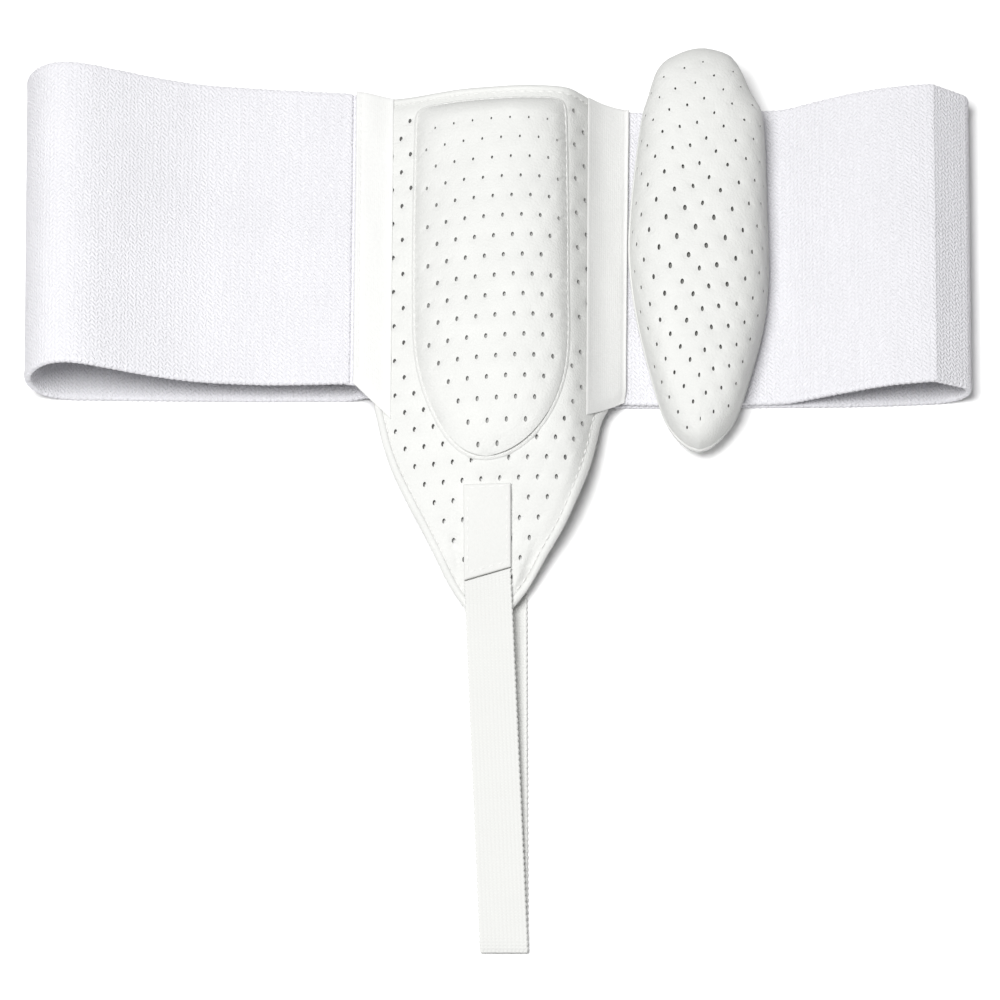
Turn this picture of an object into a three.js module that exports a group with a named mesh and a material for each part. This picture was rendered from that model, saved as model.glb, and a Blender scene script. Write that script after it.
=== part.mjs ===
// A hernia belt lying flat on a table, pads upwards.
// Millimetres. X runs along the waist loop, -Y points from the belt to the groin strap's fold, Z is up.
import * as THREE from "three";

// Driving sizes.
const beltWidth = 111.7; // the elastic band, from edge to edge
const leftReach = 164.7; // from the strap's line to the left fold of the loop
const rightReach = 163.8; // from the strap's line to the right fold of the loop
const leftCrest = 34.5; // how high the left fold bulges
const rightCrest = 22; // how high the right fold bulges
const leftLean = 3.2; // the left fold lies this far nearer at the belt's lower edge
const rightLean = 3; // and the right one
const elasticWall = 2.2;
const clearance = 0.3; // between pieces that touch
const closureLap = 62; // how far the two back ends of the elastic lie over each other
const closureMiddle = -9; // the middle of that lap, from the strap's line
const hookWall = 1.2; // the hook patches of both fastenings

const panelLeft = 50; // from the strap's line to the outer edge of the left side band
const panelRight = 45; // and to that of the right one
const panelCrest = 27; // height of the front panel's middle
const panelWall = 3.4;
const skirtDrop = 78; // how far the front panel hangs below the elastic
const tipHeight = 8.5; // height of the skirt's tip
const bandWidthLeft = 13;
const bandWidthRight = 14.5;
const bandTaper = 2.5; // the right band narrows and leans this far towards its lower end
const bandCutLeft = 12.8; // the slant of the bands' lower ends
const bandCutRight = 10;
const bandWall = 1.6;
const seamLap = 7; // how far the side bands lie over the elastic's ends

const pocketSideLeft = 6; // from the left side band to the pocket
const pocketSideRight = 5.9; // and from the right one
const pocketInset = 4; // from the panel's top edge to the pocket's
const pocketDrop = 30.4; // how far the pocket reaches below the elastic
const pocketRim = 1.6; // wall of the pocket's sewn rim
const pocketRise = 5; // how far the filling lifts the pocket

const padLength = 149.2;
const padWidth = 48.3;
const padFront = 17; // height of the loose pad above its seam
const padBack = 5.4; // and below it
const padOverlap = 0.75; // the pad's seam reaches this far over the right side band
const padDrop = 2.9; // the pad's middle lies this far below the belt's

const strapWidth = 15.8;
const strapWall = 1.6;
const strapDrop = 117; // from the skirt's tip to the strap's fold
const strapLean = 5; // the front run lies this far to the left of the back run, at the skirt's tip
const strapCentre = 1.3; // the back run's middle, from the strap's line
const strapLap = 40; // how far the strap's back end lies over the elastic
const patchInset = 6.5; // from the pocket's lower end to the patch
const patchFoot = 14; // from the patch's lower right corner to the skirt's tip
const patchSlant = 4.5; // the patch's lower edge is cut slantwise

const elasticColour = "#eeedf6";
const panelColour = "#f4f5f0";
const bandColour = "#f9faf6";
const strapColour = "#f3f4f0";
const hookColour = "#e3e4e4";

const halfBelt = beltWidth / 2;
const flatStack = 2 * elasticWall + clearance; // the front elastic pressed on the back one
const lapTop = flatStack + hookWall + clearance; // top of the closure
const panelEdgeLeft = panelLeft - seamLap - 2 * clearance; // from the strap's line to the panel's own side edge
const panelEdgeRight = panelRight - seamLap - 2 * clearance;
const pocketLeft = bandWidthLeft + pocketSideLeft - panelLeft;
const pocketRight = panelRight - bandWidthRight - pocketSideRight;
const padCentre = panelRight - padOverlap + padWidth / 2;
const tipY = -halfBelt - skirtDrop;
const foldY = tipY - strapDrop;
const patchTop = -halfBelt - pocketDrop - patchInset;
const patchBottom = tipY + patchFoot;

// The front layer's top under the side bands and over the panel. out: share of panelLeft where it is
// negative and of panelRight where it is positive. lift: share of the way from the flat stack to panelCrest.
const frontRows = [
  { out: -1.02, lift: 0.552 },
  { out: -0.86, lift: 0.525 },
  { out: -0.74, lift: 0.516 },
  { out: -0.6, lift: 0.596 },
  { out: -0.44, lift: 0.731 },
  { out: -0.28, lift: 0.852 },
  { out: -0.1, lift: 0.937 },
  { out: 0.08, lift: 0.991 },
  { out: 0.27, lift: 1 },
  { out: 0.44, lift: 0.966 },
  { out: 0.54, lift: 0.89 },
  { out: 0.62, lift: 0.712 },
  { out: 0.7, lift: 0.5 },
  { out: 0.8, lift: 0.262 },
  { out: 0.91, lift: 0.075 },
  { out: 1.0, lift: 0.012 },
  { out: 1.11, lift: 0 },
];

// The outer face of each loop end. out: share of the way from the panel, or on the right from the loose pad,
// to the fold. lift: in the front run the share of the way from the flat stack to the crest, and in the fold
// the share of the crest.
const leftLoop = {
  front: [
    { out: 0.12, lift: 0.4 },
    { out: 0.25, lift: 0.396 },
    { out: 0.35, lift: 0.421 },
    { out: 0.453, lift: 0.463 },
    { out: 0.54, lift: 0.547 },
    { out: 0.636, lift: 0.681 },
    { out: 0.732, lift: 0.846 },
    { out: 0.811, lift: 0.967 },
    { out: 0.872, lift: 1 },
  ],
  fold: [
    { out: 0.929, lift: 0.936 },
    { out: 0.969, lift: 0.797 },
    { out: 0.994, lift: 0.623 },
    { out: 1, lift: 0.46 },
    { out: 0.989, lift: 0.29 },
    { out: 0.959, lift: 0.133 },
    { out: 0.911, lift: 0.035 },
    { out: 0.846, lift: 0 },
    { out: 0.7, lift: 0 },
    { out: 0.35, lift: 0 },
  ],
};
const rightLoop = {
  front: [
    { out: -0.6, lift: 0 },
    { out: -0.3, lift: 0 },
    { out: 0, lift: 0 },
    { out: 0.105, lift: 0.06 },
    { out: 0.2, lift: 0.25 },
    { out: 0.315, lift: 0.48 },
    { out: 0.43, lift: 0.675 },
    { out: 0.526, lift: 0.812 },
    { out: 0.624, lift: 0.913 },
    { out: 0.736, lift: 0.985 },
    { out: 0.8, lift: 1 },
    { out: 0.835, lift: 0.97 },
  ],
  fold: [
    { out: 0.89, lift: 0.875 },
    { out: 0.952, lift: 0.75 },
    { out: 0.988, lift: 0.61 },
    { out: 1, lift: 0.45 },
    { out: 0.993, lift: 0.3 },
    { out: 0.961, lift: 0.15 },
    { out: 0.901, lift: 0.05 },
    { out: 0.806, lift: 0 },
    { out: 0.4, lift: 0 },
    { out: -0.2, lift: 0 },
  ],
};

// The belt's two edges. out: share of leftReach or rightReach. top and bottom: shares of halfBelt.
const edgeRows = [
  { out: -1, top: 1.055, bottom: -0.97 },
  { out: -0.73, top: 1.038, bottom: -0.98 },
  { out: -0.52, top: 1.02, bottom: -0.985 },
  { out: -0.3, top: 0.985, bottom: -0.985 },
  { out: -0.2, top: 0.962, bottom: -1 },
  { out: 0.28, top: 0.962, bottom: -1.03 },
  { out: 0.57, top: 0.975, bottom: -1.025 },
  { out: 0.75, top: 0.995, bottom: -1.02 },
  { out: 0.9, top: 1.005, bottom: -1.005 },
  { out: 1, top: 1, bottom: -0.99 },
];

// The front panel's outline below the belt. down: share of skirtDrop. left and right: shares of the way from
// the strap's line to the panel's two side edges.
const skirtRows = [
  { down: -0.04, left: 1, right: 1 },
  { down: 0.03, left: 1, right: 1 },
  { down: 0.08, left: 1.01, right: 0.975 },
  { down: 0.14, left: 0.985, right: 0.92 },
  { down: 0.25, left: 0.94, right: 0.872 },
  { down: 0.39, left: 0.854, right: 0.795 },
  { down: 0.54, left: 0.723, right: 0.673 },
  { down: 0.65, left: 0.619, right: 0.564 },
  { down: 0.76, left: 0.517, right: 0.426 },
  { down: 0.88, left: 0.41, right: 0.282 },
  { down: 0.94, left: 0.34, right: 0.2 },
  { down: 1, left: 0.262, right: 0.097 },
];

// The pocket's outline. down: share of the way from its top edge to its lower end. left and right: shares of
// half of its width.
const pocketRows = [
  { down: 0, left: 0.98, right: 0.985 },
  { down: 0.3, left: 1, right: 1 },
  { down: 0.54, left: 1, right: 1 },
  { down: 0.69, left: 0.975, right: 1 },
  { down: 0.79, left: 0.885, right: 0.94 },
  { down: 0.885, left: 0.71, right: 0.765 },
  { down: 0.945, left: 0.54, right: 0.54 },
  { down: 0.975, left: 0.4, right: 0.36 },
  { down: 1, left: 0.2, right: 0.08 },
];

// The loose pad's outline. up: share of half of padLength. left and right: shares of half of padWidth.
const padRows = [
  { up: 1, left: 0.03, right: 0.23 },
  { up: 0.97, left: 0.15, right: 0.39 },
  { up: 0.94, left: 0.33, right: 0.52 },
  { up: 0.9, left: 0.54, right: 0.63 },
  { up: 0.85, left: 0.625, right: 0.71 },
  { up: 0.78, left: 0.69, right: 0.8 },
  { up: 0.7, left: 0.77, right: 0.94 },
  { up: 0.6, left: 0.82, right: 0.975 },
  { up: 0.45, left: 0.885, right: 0.99 },
  { up: 0.2, left: 0.97, right: 0.995 },
  { up: 0, left: 1, right: 1 },
  { up: -0.2, left: 0.96, right: 0.98 },
  { up: -0.4, left: 0.865, right: 0.895 },
  { up: -0.6, left: 0.73, right: 0.735 },
  { up: -0.8, left: 0.57, right: 0.53 },
  { up: -0.88, left: 0.47, right: 0.41 },
  { up: -0.94, left: 0.32, right: 0.2 },
  { up: -0.98, left: 0.17, right: 0.02 },
  { up: -1, left: 0.11, right: -0.05 },
];

// The strap's free stretch. down: share of strapDrop. lift: share of tipHeight for its middle layer.
const strapRows = [
  { down: 0.06, lift: 1.1 },
  { down: 0.16, lift: 0.98 },
  { down: 0.34, lift: 0.82 },
  { down: 0.58, lift: 0.64 },
  { down: 0.8, lift: 0.47 },
  { down: 0.92, lift: 0.38 },
  { down: 0.975, lift: 0.335 },
  { down: 1, lift: 0.215 },
];

// Value of a column at a place along a table, as a smooth curve through the rows.
function along(rows, key, column, at) {
  const falling = rows[0][key] > rows[rows.length - 1][key];
  const place = (row) => (falling ? -row[key] : row[key]);
  const x = falling ? -at : at;
  if (x <= place(rows[0])) return rows[0][column];
  const last = rows.length - 1;
  if (x >= place(rows[last])) return rows[last][column];
  let i = 0;
  while (place(rows[i + 1]) < x) i += 1;
  const step = place(rows[i + 1]) - place(rows[i]);
  const t = (x - place(rows[i])) / step;
  const slope = (a, b) => (rows[b][column] - rows[a][column]) / (place(rows[b]) - place(rows[a]));
  const before = slope(Math.max(i - 1, 0), Math.min(i + 1, last)) * step;
  const after = slope(Math.max(i, 0), Math.min(i + 2, last)) * step;
  const a = rows[i][column];
  const b = rows[i + 1][column];
  return (2 * a - 2 * b + before + after) * t ** 3 + (3 * b - 3 * a - 2 * before - after) * t ** 2 + before * t + a;
}

// Share of the whole way, eased at both ends.
function eased(t) {
  return (1 - Math.cos(Math.PI * THREE.MathUtils.clamp(t, 0, 1))) / 2;
}

function beltEdge(x, column) {
  return halfBelt * along(edgeRows, "out", column, x < 0 ? x / leftReach : x / rightReach);
}

// Height of the front layer's top across the belt.
function frontTop(x) {
  const out = x < 0 ? x / panelLeft : x / panelRight;
  return flatStack + (panelCrest - flatStack) * along(frontRows, "out", "lift", out);
}

// The same for the whole panel, whose skirt sinks to its tip.
function panelTop(x, y) {
  const sunk = eased((-halfBelt - y) / (skirtDrop * 1.08));
  return THREE.MathUtils.lerp(frontTop(x), tipHeight, sunk);
}

// A closed wall along a sheet. place(u, v) gives the sheet, with u running to +X side and v downwards, both
// from 0 to 1. low and high are its two faces' distances from the sheet, along the sheet's normal.
function wall(columns, rows, place, low, high) {
  const geometry = new THREE.BoxGeometry(1, 1, 1, columns, rows, 1);
  const position = geometry.getAttribute("position");
  const distance = (value, u, v) => (typeof value === "function" ? value(u, v) : value);
  for (let i = 0; i < position.count; i += 1) {
    const column = Math.round((position.getX(i) + 0.5) * columns);
    const row = Math.round((0.5 - position.getY(i)) * rows);
    const u = column / columns;
    const v = row / rows;
    const across = place(Math.min(u + 1 / columns, 1), v).sub(place(Math.max(u - 1 / columns, 0), v));
    const upwards = place(u, Math.max(v - 1 / rows, 0)).sub(place(u, Math.min(v + 1 / rows, 1)));
    const normal = across.cross(upwards).normalize();
    const face = position.getZ(i) > 0 ? high : low;
    const point = place(u, v).addScaledVector(normal, distance(face, u, v));
    position.setXYZ(i, point.x, point.y, point.z);
  }
  geometry.computeVertexNormals();
  return geometry;
}

function piece(name, geometry, colour, roughness) {
  const material = new THREE.MeshStandardMaterial({ color: colour, roughness, metalness: 0 });
  const mesh = new THREE.Mesh(geometry, material);
  mesh.name = name;
  return mesh;
}

// One half of the waist elastic: from under its side band, round the fold and back under the panel.
// side is -1 for the left half and 1 for the right one. The outer face follows the tables.
function elasticHalf(side) {
  const left = side < 0;
  const loop = left ? leftLoop : rightLoop;
  const seam = left ? panelLeft : panelRight;
  const start = left ? panelLeft : padCentre + padWidth / 2;
  const reach = left ? leftReach : rightReach;
  const crest = left ? leftCrest : rightCrest;
  const lean = left ? leftLean : rightLean;
  const at = (row) => start + (reach - start) * row.out;
  const points = [];
  for (const share of [0, 0.45, 0.9]) {
    const x = seam - seamLap * (1 - share);
    points.push([x, frontTop(side * x)]);
  }
  for (const row of loop.front) points.push([at(row), flatStack + (crest - flatStack) * row.lift]);
  for (const row of loop.fold) points.push([at(row), crest * row.lift]);
  if (left) {
    // The left half's end climbs over the right half's.
    const edge = closureLap / 2 - closureMiddle;
    const climb = elasticWall + hookWall + 2 * clearance;
    points.push([edge + 16, 0], [edge + 11, climb * 0.12], [edge + 5, climb * 0.88], [edge + 1, climb]);
    points.push([edge - closureLap / 2, climb], [edge - closureLap, climb]);
  } else {
    points.push([10, 0], [closureMiddle - closureLap / 2, 0]);
  }
  const route = new THREE.CatmullRomCurve3(points.map(([x, z]) => new THREE.Vector3(side * x, 0, z)));
  // The left route is walked backwards, so that the outer face is the upper one on both halves.
  const place = (u, v) => {
    const point = route.getPoint(left ? 1 - u : u);
    point.z = Math.max(point.z, 0);
    point.y = THREE.MathUtils.lerp(beltEdge(point.x, "top"), beltEdge(point.x, "bottom"), v);
    const beyond = THREE.MathUtils.clamp((side * point.x - seam) / (reach - seam), 0, 1);
    point.x -= side * lean * beyond * v;
    return point;
  };
  const name = left ? "waist_elastic_left" : "waist_elastic_right";
  const geometry = wall(points.length * 3, 1, place, -elasticWall, 0);
  return piece(name, geometry, elasticColour, 0.9);
}

// The hook patch between the two back ends.
function closurePatch() {
  const geometry = new THREE.BoxGeometry(closureLap - 10, 0.78 * beltWidth, hookWall);
  geometry.translate(closureMiddle, -1, elasticWall + clearance + hookWall / 2);
  return piece("closure_hook_patch", geometry, hookColour, 0.95);
}

function frontPanel() {
  const top = beltEdge(0, "top");
  const place = (u, v) => {
    const y = THREE.MathUtils.lerp(top, tipY, v);
    const down = (-halfBelt - y) / skirtDrop;
    const left = -panelEdgeLeft * along(skirtRows, "down", "left", down);
    const right = panelEdgeRight * along(skirtRows, "down", "right", down);
    const x = THREE.MathUtils.lerp(left, right, u);
    return new THREE.Vector3(x, y, panelTop(x, y));
  };
  return piece("front_panel", wall(28, 24, place, -panelWall, 0), panelColour, 0.85);
}

// A side band over the seam between the panel and the elastic. Its lower end is cut slantwise.
function sideBand(side) {
  const left = side < 0;
  const outer = left ? -panelLeft : panelRight;
  const inner = outer - side * (left ? bandWidthLeft : bandWidthRight);
  const cut = left ? bandCutLeft : bandCutRight;
  const taper = left ? 0 : bandTaper;
  const place = (u, v) => {
    const share = left ? u : 1 - u;
    const y = THREE.MathUtils.lerp(beltEdge(outer, "top"), beltEdge(outer, "bottom") - cut * share, v);
    const x = THREE.MathUtils.lerp(outer - taper * v, inner - taper * v * 0.6, share);
    return new THREE.Vector3(x, y, panelTop(x, y));
  };
  const name = left ? "side_band_left" : "side_band_right";
  return piece(name, wall(6, 14, place, clearance, clearance + bandWall), bandColour, 0.8);
}

// How far the pocket's filling stands up: nothing at the outline, and full inside. The top end is open.
function filled(u, v) {
  const sideways = 1 - Math.abs(2 * u - 1) ** 2.6;
  const lengthways = 1 - v ** 4;
  return Math.sqrt(Math.max(0, sideways * lengthways));
}

// The rounded pocket on the panel, with its filling inside.
function pocket() {
  const top = beltEdge(0, "top") - pocketInset;
  const bottom = -halfBelt - pocketDrop;
  const centre = (pocketLeft + pocketRight) / 2;
  const half = (pocketRight - pocketLeft) / 2;
  const place = (u, v) => {
    const left = centre - half * along(pocketRows, "down", "left", v);
    const right = centre + half * along(pocketRows, "down", "right", v);
    const x = THREE.MathUtils.lerp(left, right, u);
    const y = THREE.MathUtils.lerp(top, bottom, v);
    return new THREE.Vector3(x, y, panelTop(x, y));
  };
  const high = (u, v) => clearance + pocketRim + pocketRise * filled(u, v);
  return piece("pocket_pad", wall(18, 20, place, clearance, high), panelColour, 0.85);
}

// Half of the loose pad: the front half lies above the seam and the back half below it.
function loosePad(side) {
  const seam = flatStack + clearance + padBack;
  const place = (u, v) => {
    const up = Math.cos(Math.PI * v);
    const left = padCentre - (padWidth / 2) * along(padRows, "up", "left", up);
    const right = padCentre + (padWidth / 2) * along(padRows, "up", "right", up);
    const x = THREE.MathUtils.lerp(left, right, (1 - Math.cos(Math.PI * u)) / 2);
    return new THREE.Vector3(x, up * (padLength / 2) - padDrop, seam);
  };
  const rise = (u, v) => Math.sqrt(Math.sin(Math.PI * u) ** 1.2 * Math.min(1, 1.6 * Math.sin(Math.PI * v)));
  if (side === "front") {
    const high = (u, v) => clearance + 1.2 + (padFront - clearance - 1.2) * rise(u, v);
    return piece("loose_pad_front", wall(14, 18, place, clearance, high), panelColour, 0.85);
  }
  const low = (u, v) => -1 - (padBack - 1) * Math.min(1, 1.5 * rise(u, v));
  return piece("loose_pad_back", wall(12, 16, place, low, 0), bandColour, 0.85);
}

// Middle line of the strap's front run, which leans to the left towards the tip.
function strapLine(y) {
  const share = THREE.MathUtils.clamp((y - foldY) / strapDrop, 0, 1.1);
  return strapCentre - strapLean * share;
}

// The strap's sewn end on the skirt.
function strapPatch() {
  const place = (u, v) => {
    const y = THREE.MathUtils.lerp(patchTop, patchBottom - patchSlant * (1 - u), v);
    const x = strapLine(y) + (u - 0.5) * strapWidth;
    return new THREE.Vector3(x, y, panelTop(x, y));
  };
  const geometry = wall(4, 8, place, clearance, clearance + strapWall);
  return piece("strap_patch", geometry, bandColour, 0.8);
}

// The strap: from the patch over the tip, down to its fold, and back under the skirt onto the elastic.
function groinStrap() {
  const middle = strapWall / 2;
  const seated = clearance + middle;
  const start = patchBottom - 2 * clearance;
  const points = [];
  for (const share of [0, 0.5, 1]) {
    const y = THREE.MathUtils.lerp(start, tipY + 1, share);
    points.push([y, panelTop(strapLine(y), y) + seated]);
  }
  for (const row of strapRows) points.push([tipY - strapDrop * row.down, tipHeight * row.lift]);
  const turn = points.length - 1;
  const lapHeight = lapTop + clearance + hookWall + seated;
  points.push([foldY + 3.5, middle], [foldY + 12, middle], [foldY + 60, middle], [-halfBelt - 24, middle]);
  points.push([-halfBelt - 17, middle * 1.4], [-halfBelt - 7, lapHeight * 0.93], [-halfBelt - 1, lapHeight]);
  points.push([strapLap / 2 - halfBelt, lapHeight], [strapLap - halfBelt, lapHeight]);
  const route = new THREE.CatmullRomCurve3(points.map(([y, z]) => new THREE.Vector3(0, y, z)));
  const segments = points.length - 1;
  const onSkirt = 2 / segments;
  const place = (u, v) => {
    const point = route.getPoint(v);
    point.z = Math.max(point.z, middle);
    point.y -= patchSlant * (1 - u) * Math.max(0, 1 - v / onSkirt);
    const front = 1 - eased((v * segments - turn + 1) / 2);
    point.x = THREE.MathUtils.lerp(strapCentre, strapLine(point.y), front) + (u - 0.5) * strapWidth;
    if (v < onSkirt) point.z = panelTop(point.x, point.y) + seated;
    return point;
  };
  const geometry = wall(2, segments * 3, place, -middle, middle);
  return piece("groin_strap", geometry, strapColour, 0.85);
}

// The hook patch under the strap's back end.
function strapHookPatch() {
  const length = strapLap - 8;
  const geometry = new THREE.BoxGeometry(strapWidth - 2, length, hookWall);
  const bottom = lapTop + clearance;
  geometry.translate(strapCentre, strapLap / 2 - halfBelt + 2, bottom + hookWall / 2);
  return piece("strap_hook_patch", geometry, hookColour, 0.95);
}

const belt = new THREE.Group();
belt.add(
  elasticHalf(-1),
  elasticHalf(1),
  closurePatch(),
  frontPanel(),
  sideBand(-1),
  sideBand(1),
  pocket(),
  loosePad("front"),
  loosePad("back"),
  strapPatch(),
  groinStrap(),
  strapHookPatch(),
);

// The origin is the middle of the whole part's underside.
const bounds = new THREE.Box3().setFromObject(belt);
const middle = bounds.getCenter(new THREE.Vector3());
for (const mesh of belt.children) mesh.geometry.translate(-middle.x, -middle.y, -bounds.min.z);

export default belt;
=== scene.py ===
"""A hernia belt that lies on a pale floor with its pads upwards.

Shapes are worked out in millimetres in the belt's own frame: X from the groin
strap's line, Y from the middle of the waist elastic, Z up from the floor.
Every piece is cut flat, given its wall, and laid on a form. Its cut's Z is then
the distance from that form. to_frame turns the result into the model's metres.
"""
import math
from bisect import bisect_right

import bmesh
import bpy
from mathutils import Matrix, Vector, noise
from mathutils.geometry import convex_hull_2d


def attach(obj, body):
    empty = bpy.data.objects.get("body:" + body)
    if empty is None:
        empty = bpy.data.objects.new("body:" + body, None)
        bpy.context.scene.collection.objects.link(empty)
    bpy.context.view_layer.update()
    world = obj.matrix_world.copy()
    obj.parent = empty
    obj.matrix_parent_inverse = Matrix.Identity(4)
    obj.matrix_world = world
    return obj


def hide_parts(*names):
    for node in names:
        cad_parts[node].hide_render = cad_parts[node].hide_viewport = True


bl_info = {
    "name": "Hernia belt",
    "version": (1, 0, 0),
    "blender": (4, 5, 0),
    "location": "View3D > Sidebar > Belt",
    "description": "Builds a hernia belt with its pads, straps and a studio",
    "category": "Object",
}

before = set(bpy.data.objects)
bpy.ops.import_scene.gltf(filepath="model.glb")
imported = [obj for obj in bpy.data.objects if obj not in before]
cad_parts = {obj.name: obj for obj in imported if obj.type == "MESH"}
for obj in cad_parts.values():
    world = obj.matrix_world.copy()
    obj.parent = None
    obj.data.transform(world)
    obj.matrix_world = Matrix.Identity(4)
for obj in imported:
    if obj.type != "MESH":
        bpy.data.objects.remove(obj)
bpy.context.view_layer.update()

MM = 0.001
STRAP_X, BELT_Y = 0.45, 89.97  # the belt's own zero in the model's frame

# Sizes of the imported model.
BELT_WIDTH = 111.7
HALF_BELT = BELT_WIDTH / 2
LEFT_REACH, RIGHT_REACH = 164.7, 163.8
LEFT_CREST, RIGHT_CREST = 34.5, 22.0
LEFT_LEAN, RIGHT_LEAN = 3.2, 3.0
ELASTIC_WALL = 2.2
CLEARANCE = 0.3
CLOSURE_LAP, CLOSURE_MIDDLE = 62.0, -9.0
HOOK_WALL = 1.2
PANEL_LEFT, PANEL_RIGHT = 50.0, 45.0
PANEL_CREST = 27.0
PANEL_WALL = 3.4
SKIRT_DROP = 78.0
TIP_HEIGHT = 8.5
BAND_WIDTH_LEFT, BAND_WIDTH_RIGHT = 13.0, 14.5
BAND_TAPER = 2.5
BAND_CUT_LEFT, BAND_CUT_RIGHT = 12.8, 10.0
BAND_WALL = 1.6
SEAM_LAP = 7.0
POCKET_SIDE_LEFT, POCKET_SIDE_RIGHT = 6.0, 5.9
POCKET_INSET, POCKET_DROP = 4.0, 30.4
PAD_LENGTH, PAD_WIDTH = 149.2, 48.3
PAD_FRONT, PAD_BACK = 17.0, 5.4
PAD_OVERLAP, PAD_DROP = 0.75, 2.9
STRAP_WIDTH, STRAP_WALL = 15.8, 1.6
STRAP_DROP, STRAP_LEAN, STRAP_CENTRE = 117.0, 5.0, 1.3
STRAP_LAP = 40.0
PATCH_INSET, PATCH_FOOT, PATCH_SLANT = 6.5, 14.0, 4.5

FLAT_STACK = 2 * ELASTIC_WALL + CLEARANCE
LAP_TOP = FLAT_STACK + HOOK_WALL + CLEARANCE
PANEL_EDGE_LEFT = PANEL_LEFT - SEAM_LAP - 2 * CLEARANCE
PANEL_EDGE_RIGHT = PANEL_RIGHT - SEAM_LAP - 2 * CLEARANCE
POCKET_LEFT = BAND_WIDTH_LEFT + POCKET_SIDE_LEFT - PANEL_LEFT
POCKET_RIGHT = PANEL_RIGHT - BAND_WIDTH_RIGHT - POCKET_SIDE_RIGHT
POCKET_BOTTOM = -HALF_BELT - POCKET_DROP
PAD_CENTRE = PANEL_RIGHT - PAD_OVERLAP + PAD_WIDTH / 2
PAD_SEAM = FLAT_STACK + CLEARANCE + PAD_BACK
TIP_Y = -HALF_BELT - SKIRT_DROP
FOLD_Y = TIP_Y - STRAP_DROP
PATCH_TOP = POCKET_BOTTOM - PATCH_INSET
PATCH_BOTTOM = TIP_Y + PATCH_FOOT

# Sizes of the sewing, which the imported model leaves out.
HEM_WIDTH = 2.4
SHEET_WALL = 2.4  # the perforated cloth with its foam
POCKET_CLOTH = 1.6
POCKET_LOW = 1.0  # the pocket's cloth at its edge, above the panel
POCKET_RIM, POCKET_RISE = 1.9, 5.0  # its middle, above the panel, is their sum
RIM_WIDTH = 2.3
SELVEDGE_PITCH = 2.1
WASTE = 6  # what a cut has outside its piece's bounds, before it is trimmed
SHARP, BOUND, UNBROKEN = 50, 80, 180  # degrees from which an edge is hard
LAY_STEP, PAD_STEP = 0.6, 0.9  # how far apart a form's slope is taken
STEPS = 40  # points on a smooth line from each of its given points to the next
WAVE, WAVE_ALONG, WAVE_UP = 0.7, 31, 52  # the free elastic's waves
GROOVE, GROOVE_OUT, GROOVE_WIDTH = 1.5, 0.6, 0.55  # its seam beside a band
PANEL_MARGIN, POCKET_MARGIN = 4.0, 4.3  # from an edge to the nearest hole
HOLES_LEFT, HOLES_RIGHT = -37.5, 30.5  # the panel's holes are between these
POCKET_HOLES_TOP = 42
POCKET_COVER, PATCH_COVER = 0.35, 6.5  # where pocket and strap hide the holes
CELL_FRAME, DIMPLE = 0.31, 0.45  # round a hole, as shares of a cell and a hole
HEM_STITCH = 0.55  # how deep the hem's stitches lie
RIM_STITCH_IN, RIM_STITCH_UP = 1.55, 0.58  # the rim's, from its edge and up
PATCH_SEAM = 1.3  # from the long edges of the strap's sewn end to its seams
RIB_DEPTH = 0.0008  # height of the elastic's ribs, in metres
DULL = 0.25  # how much light all the cloths reflect

# (name, side, X of the outer edge, width, slant of the lower end, taper, how
# far the inner corner is below the belt's edge)
BANDS = (
    ("side_band_left", -1, -PANEL_LEFT, BAND_WIDTH_LEFT, BAND_CUT_LEFT, 0, 1.1),
    ("side_band_right", 1, PANEL_RIGHT, BAND_WIDTH_RIGHT, BAND_CUT_RIGHT,
     BAND_TAPER, 0.4),
)
# (name, width, length, X and Y of the middle, height of the underside)
HOOK_PATCHES = (
    ("closure_hook_patch", CLOSURE_LAP - 10, 0.78 * BELT_WIDTH,
     CLOSURE_MIDDLE, -1.0, ELASTIC_WALL + CLEARANCE),
    ("strap_hook_patch", STRAP_WIDTH - 2, STRAP_LAP - 8,
     STRAP_CENTRE, STRAP_LAP / 2 - HALF_BELT + 2, LAP_TOP + CLEARANCE),
)
# What lattice_of takes, and for the loose pad what it gives.
PANEL_LATTICE = (-12.8, -91.2), 1, 0.13, 0.48, 1
POCKET_LATTICE = (0.6, 15.3), 1.02, 0.1, 0.49, 1.14
PAD_LATTICE = (-0.6, -13.8), (6.6, 2.9), (-3.8, 6.2)
# Sections of sewn edges: (distance inwards, height above the form)
HEM_SECTION = (
    (2.5, -0.8), (1.7, -0.3), (0.8, -0.3), (0.1, -0.9), (-0.1, -1.8),
    (0.1, -2.7), (0.8, -3.3), (2.5, -3.35),
)
RIM_SECTION = (
    (0.8, -0.12), (0.9, 0.15), (1.15, 0.45), (1.5, 0.58), (1.9, 0.6),
    (2.3, 0.48), (2.6, 0.2), (2.7, -0.12),
)
PAD_SECTION = (
    (-0.1, 0), (0.15, 0.55), (0.9, 0.85), (2.0, 0.9), (2.4, 0),
    (2.0, -0.8), (0.9, -0.75), (0.15, -0.5),
)
# Buckles beside the strap's sewn end: (X and Y of one end, X and Y of the
# other, depth, width)
BUCKLES = (
    (12.6, -110.0, 8.0, -127.0, 1.3, 1.3),
    (9.6, -116.0, 6.4, -129.0, 0.9, 1.0),
    (-15.9, -109.0, -12.3, -128.0, 1.0, 1.3),
)

# The lights, the place that they light and the place that is seen, in metres.
KEY_PLACE, KEY_SIZE = (-0.25, -0.18, 1.3), 0.6
FILL_PLACE, FILL_SIZE = (1.1, 0.5, 1.3), 1.2
LIT_PLACE = Vector((0.0, 0.06, 0.0))
SEEN_PLACE = Vector((0.00045, -0.00103, 0))

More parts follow.
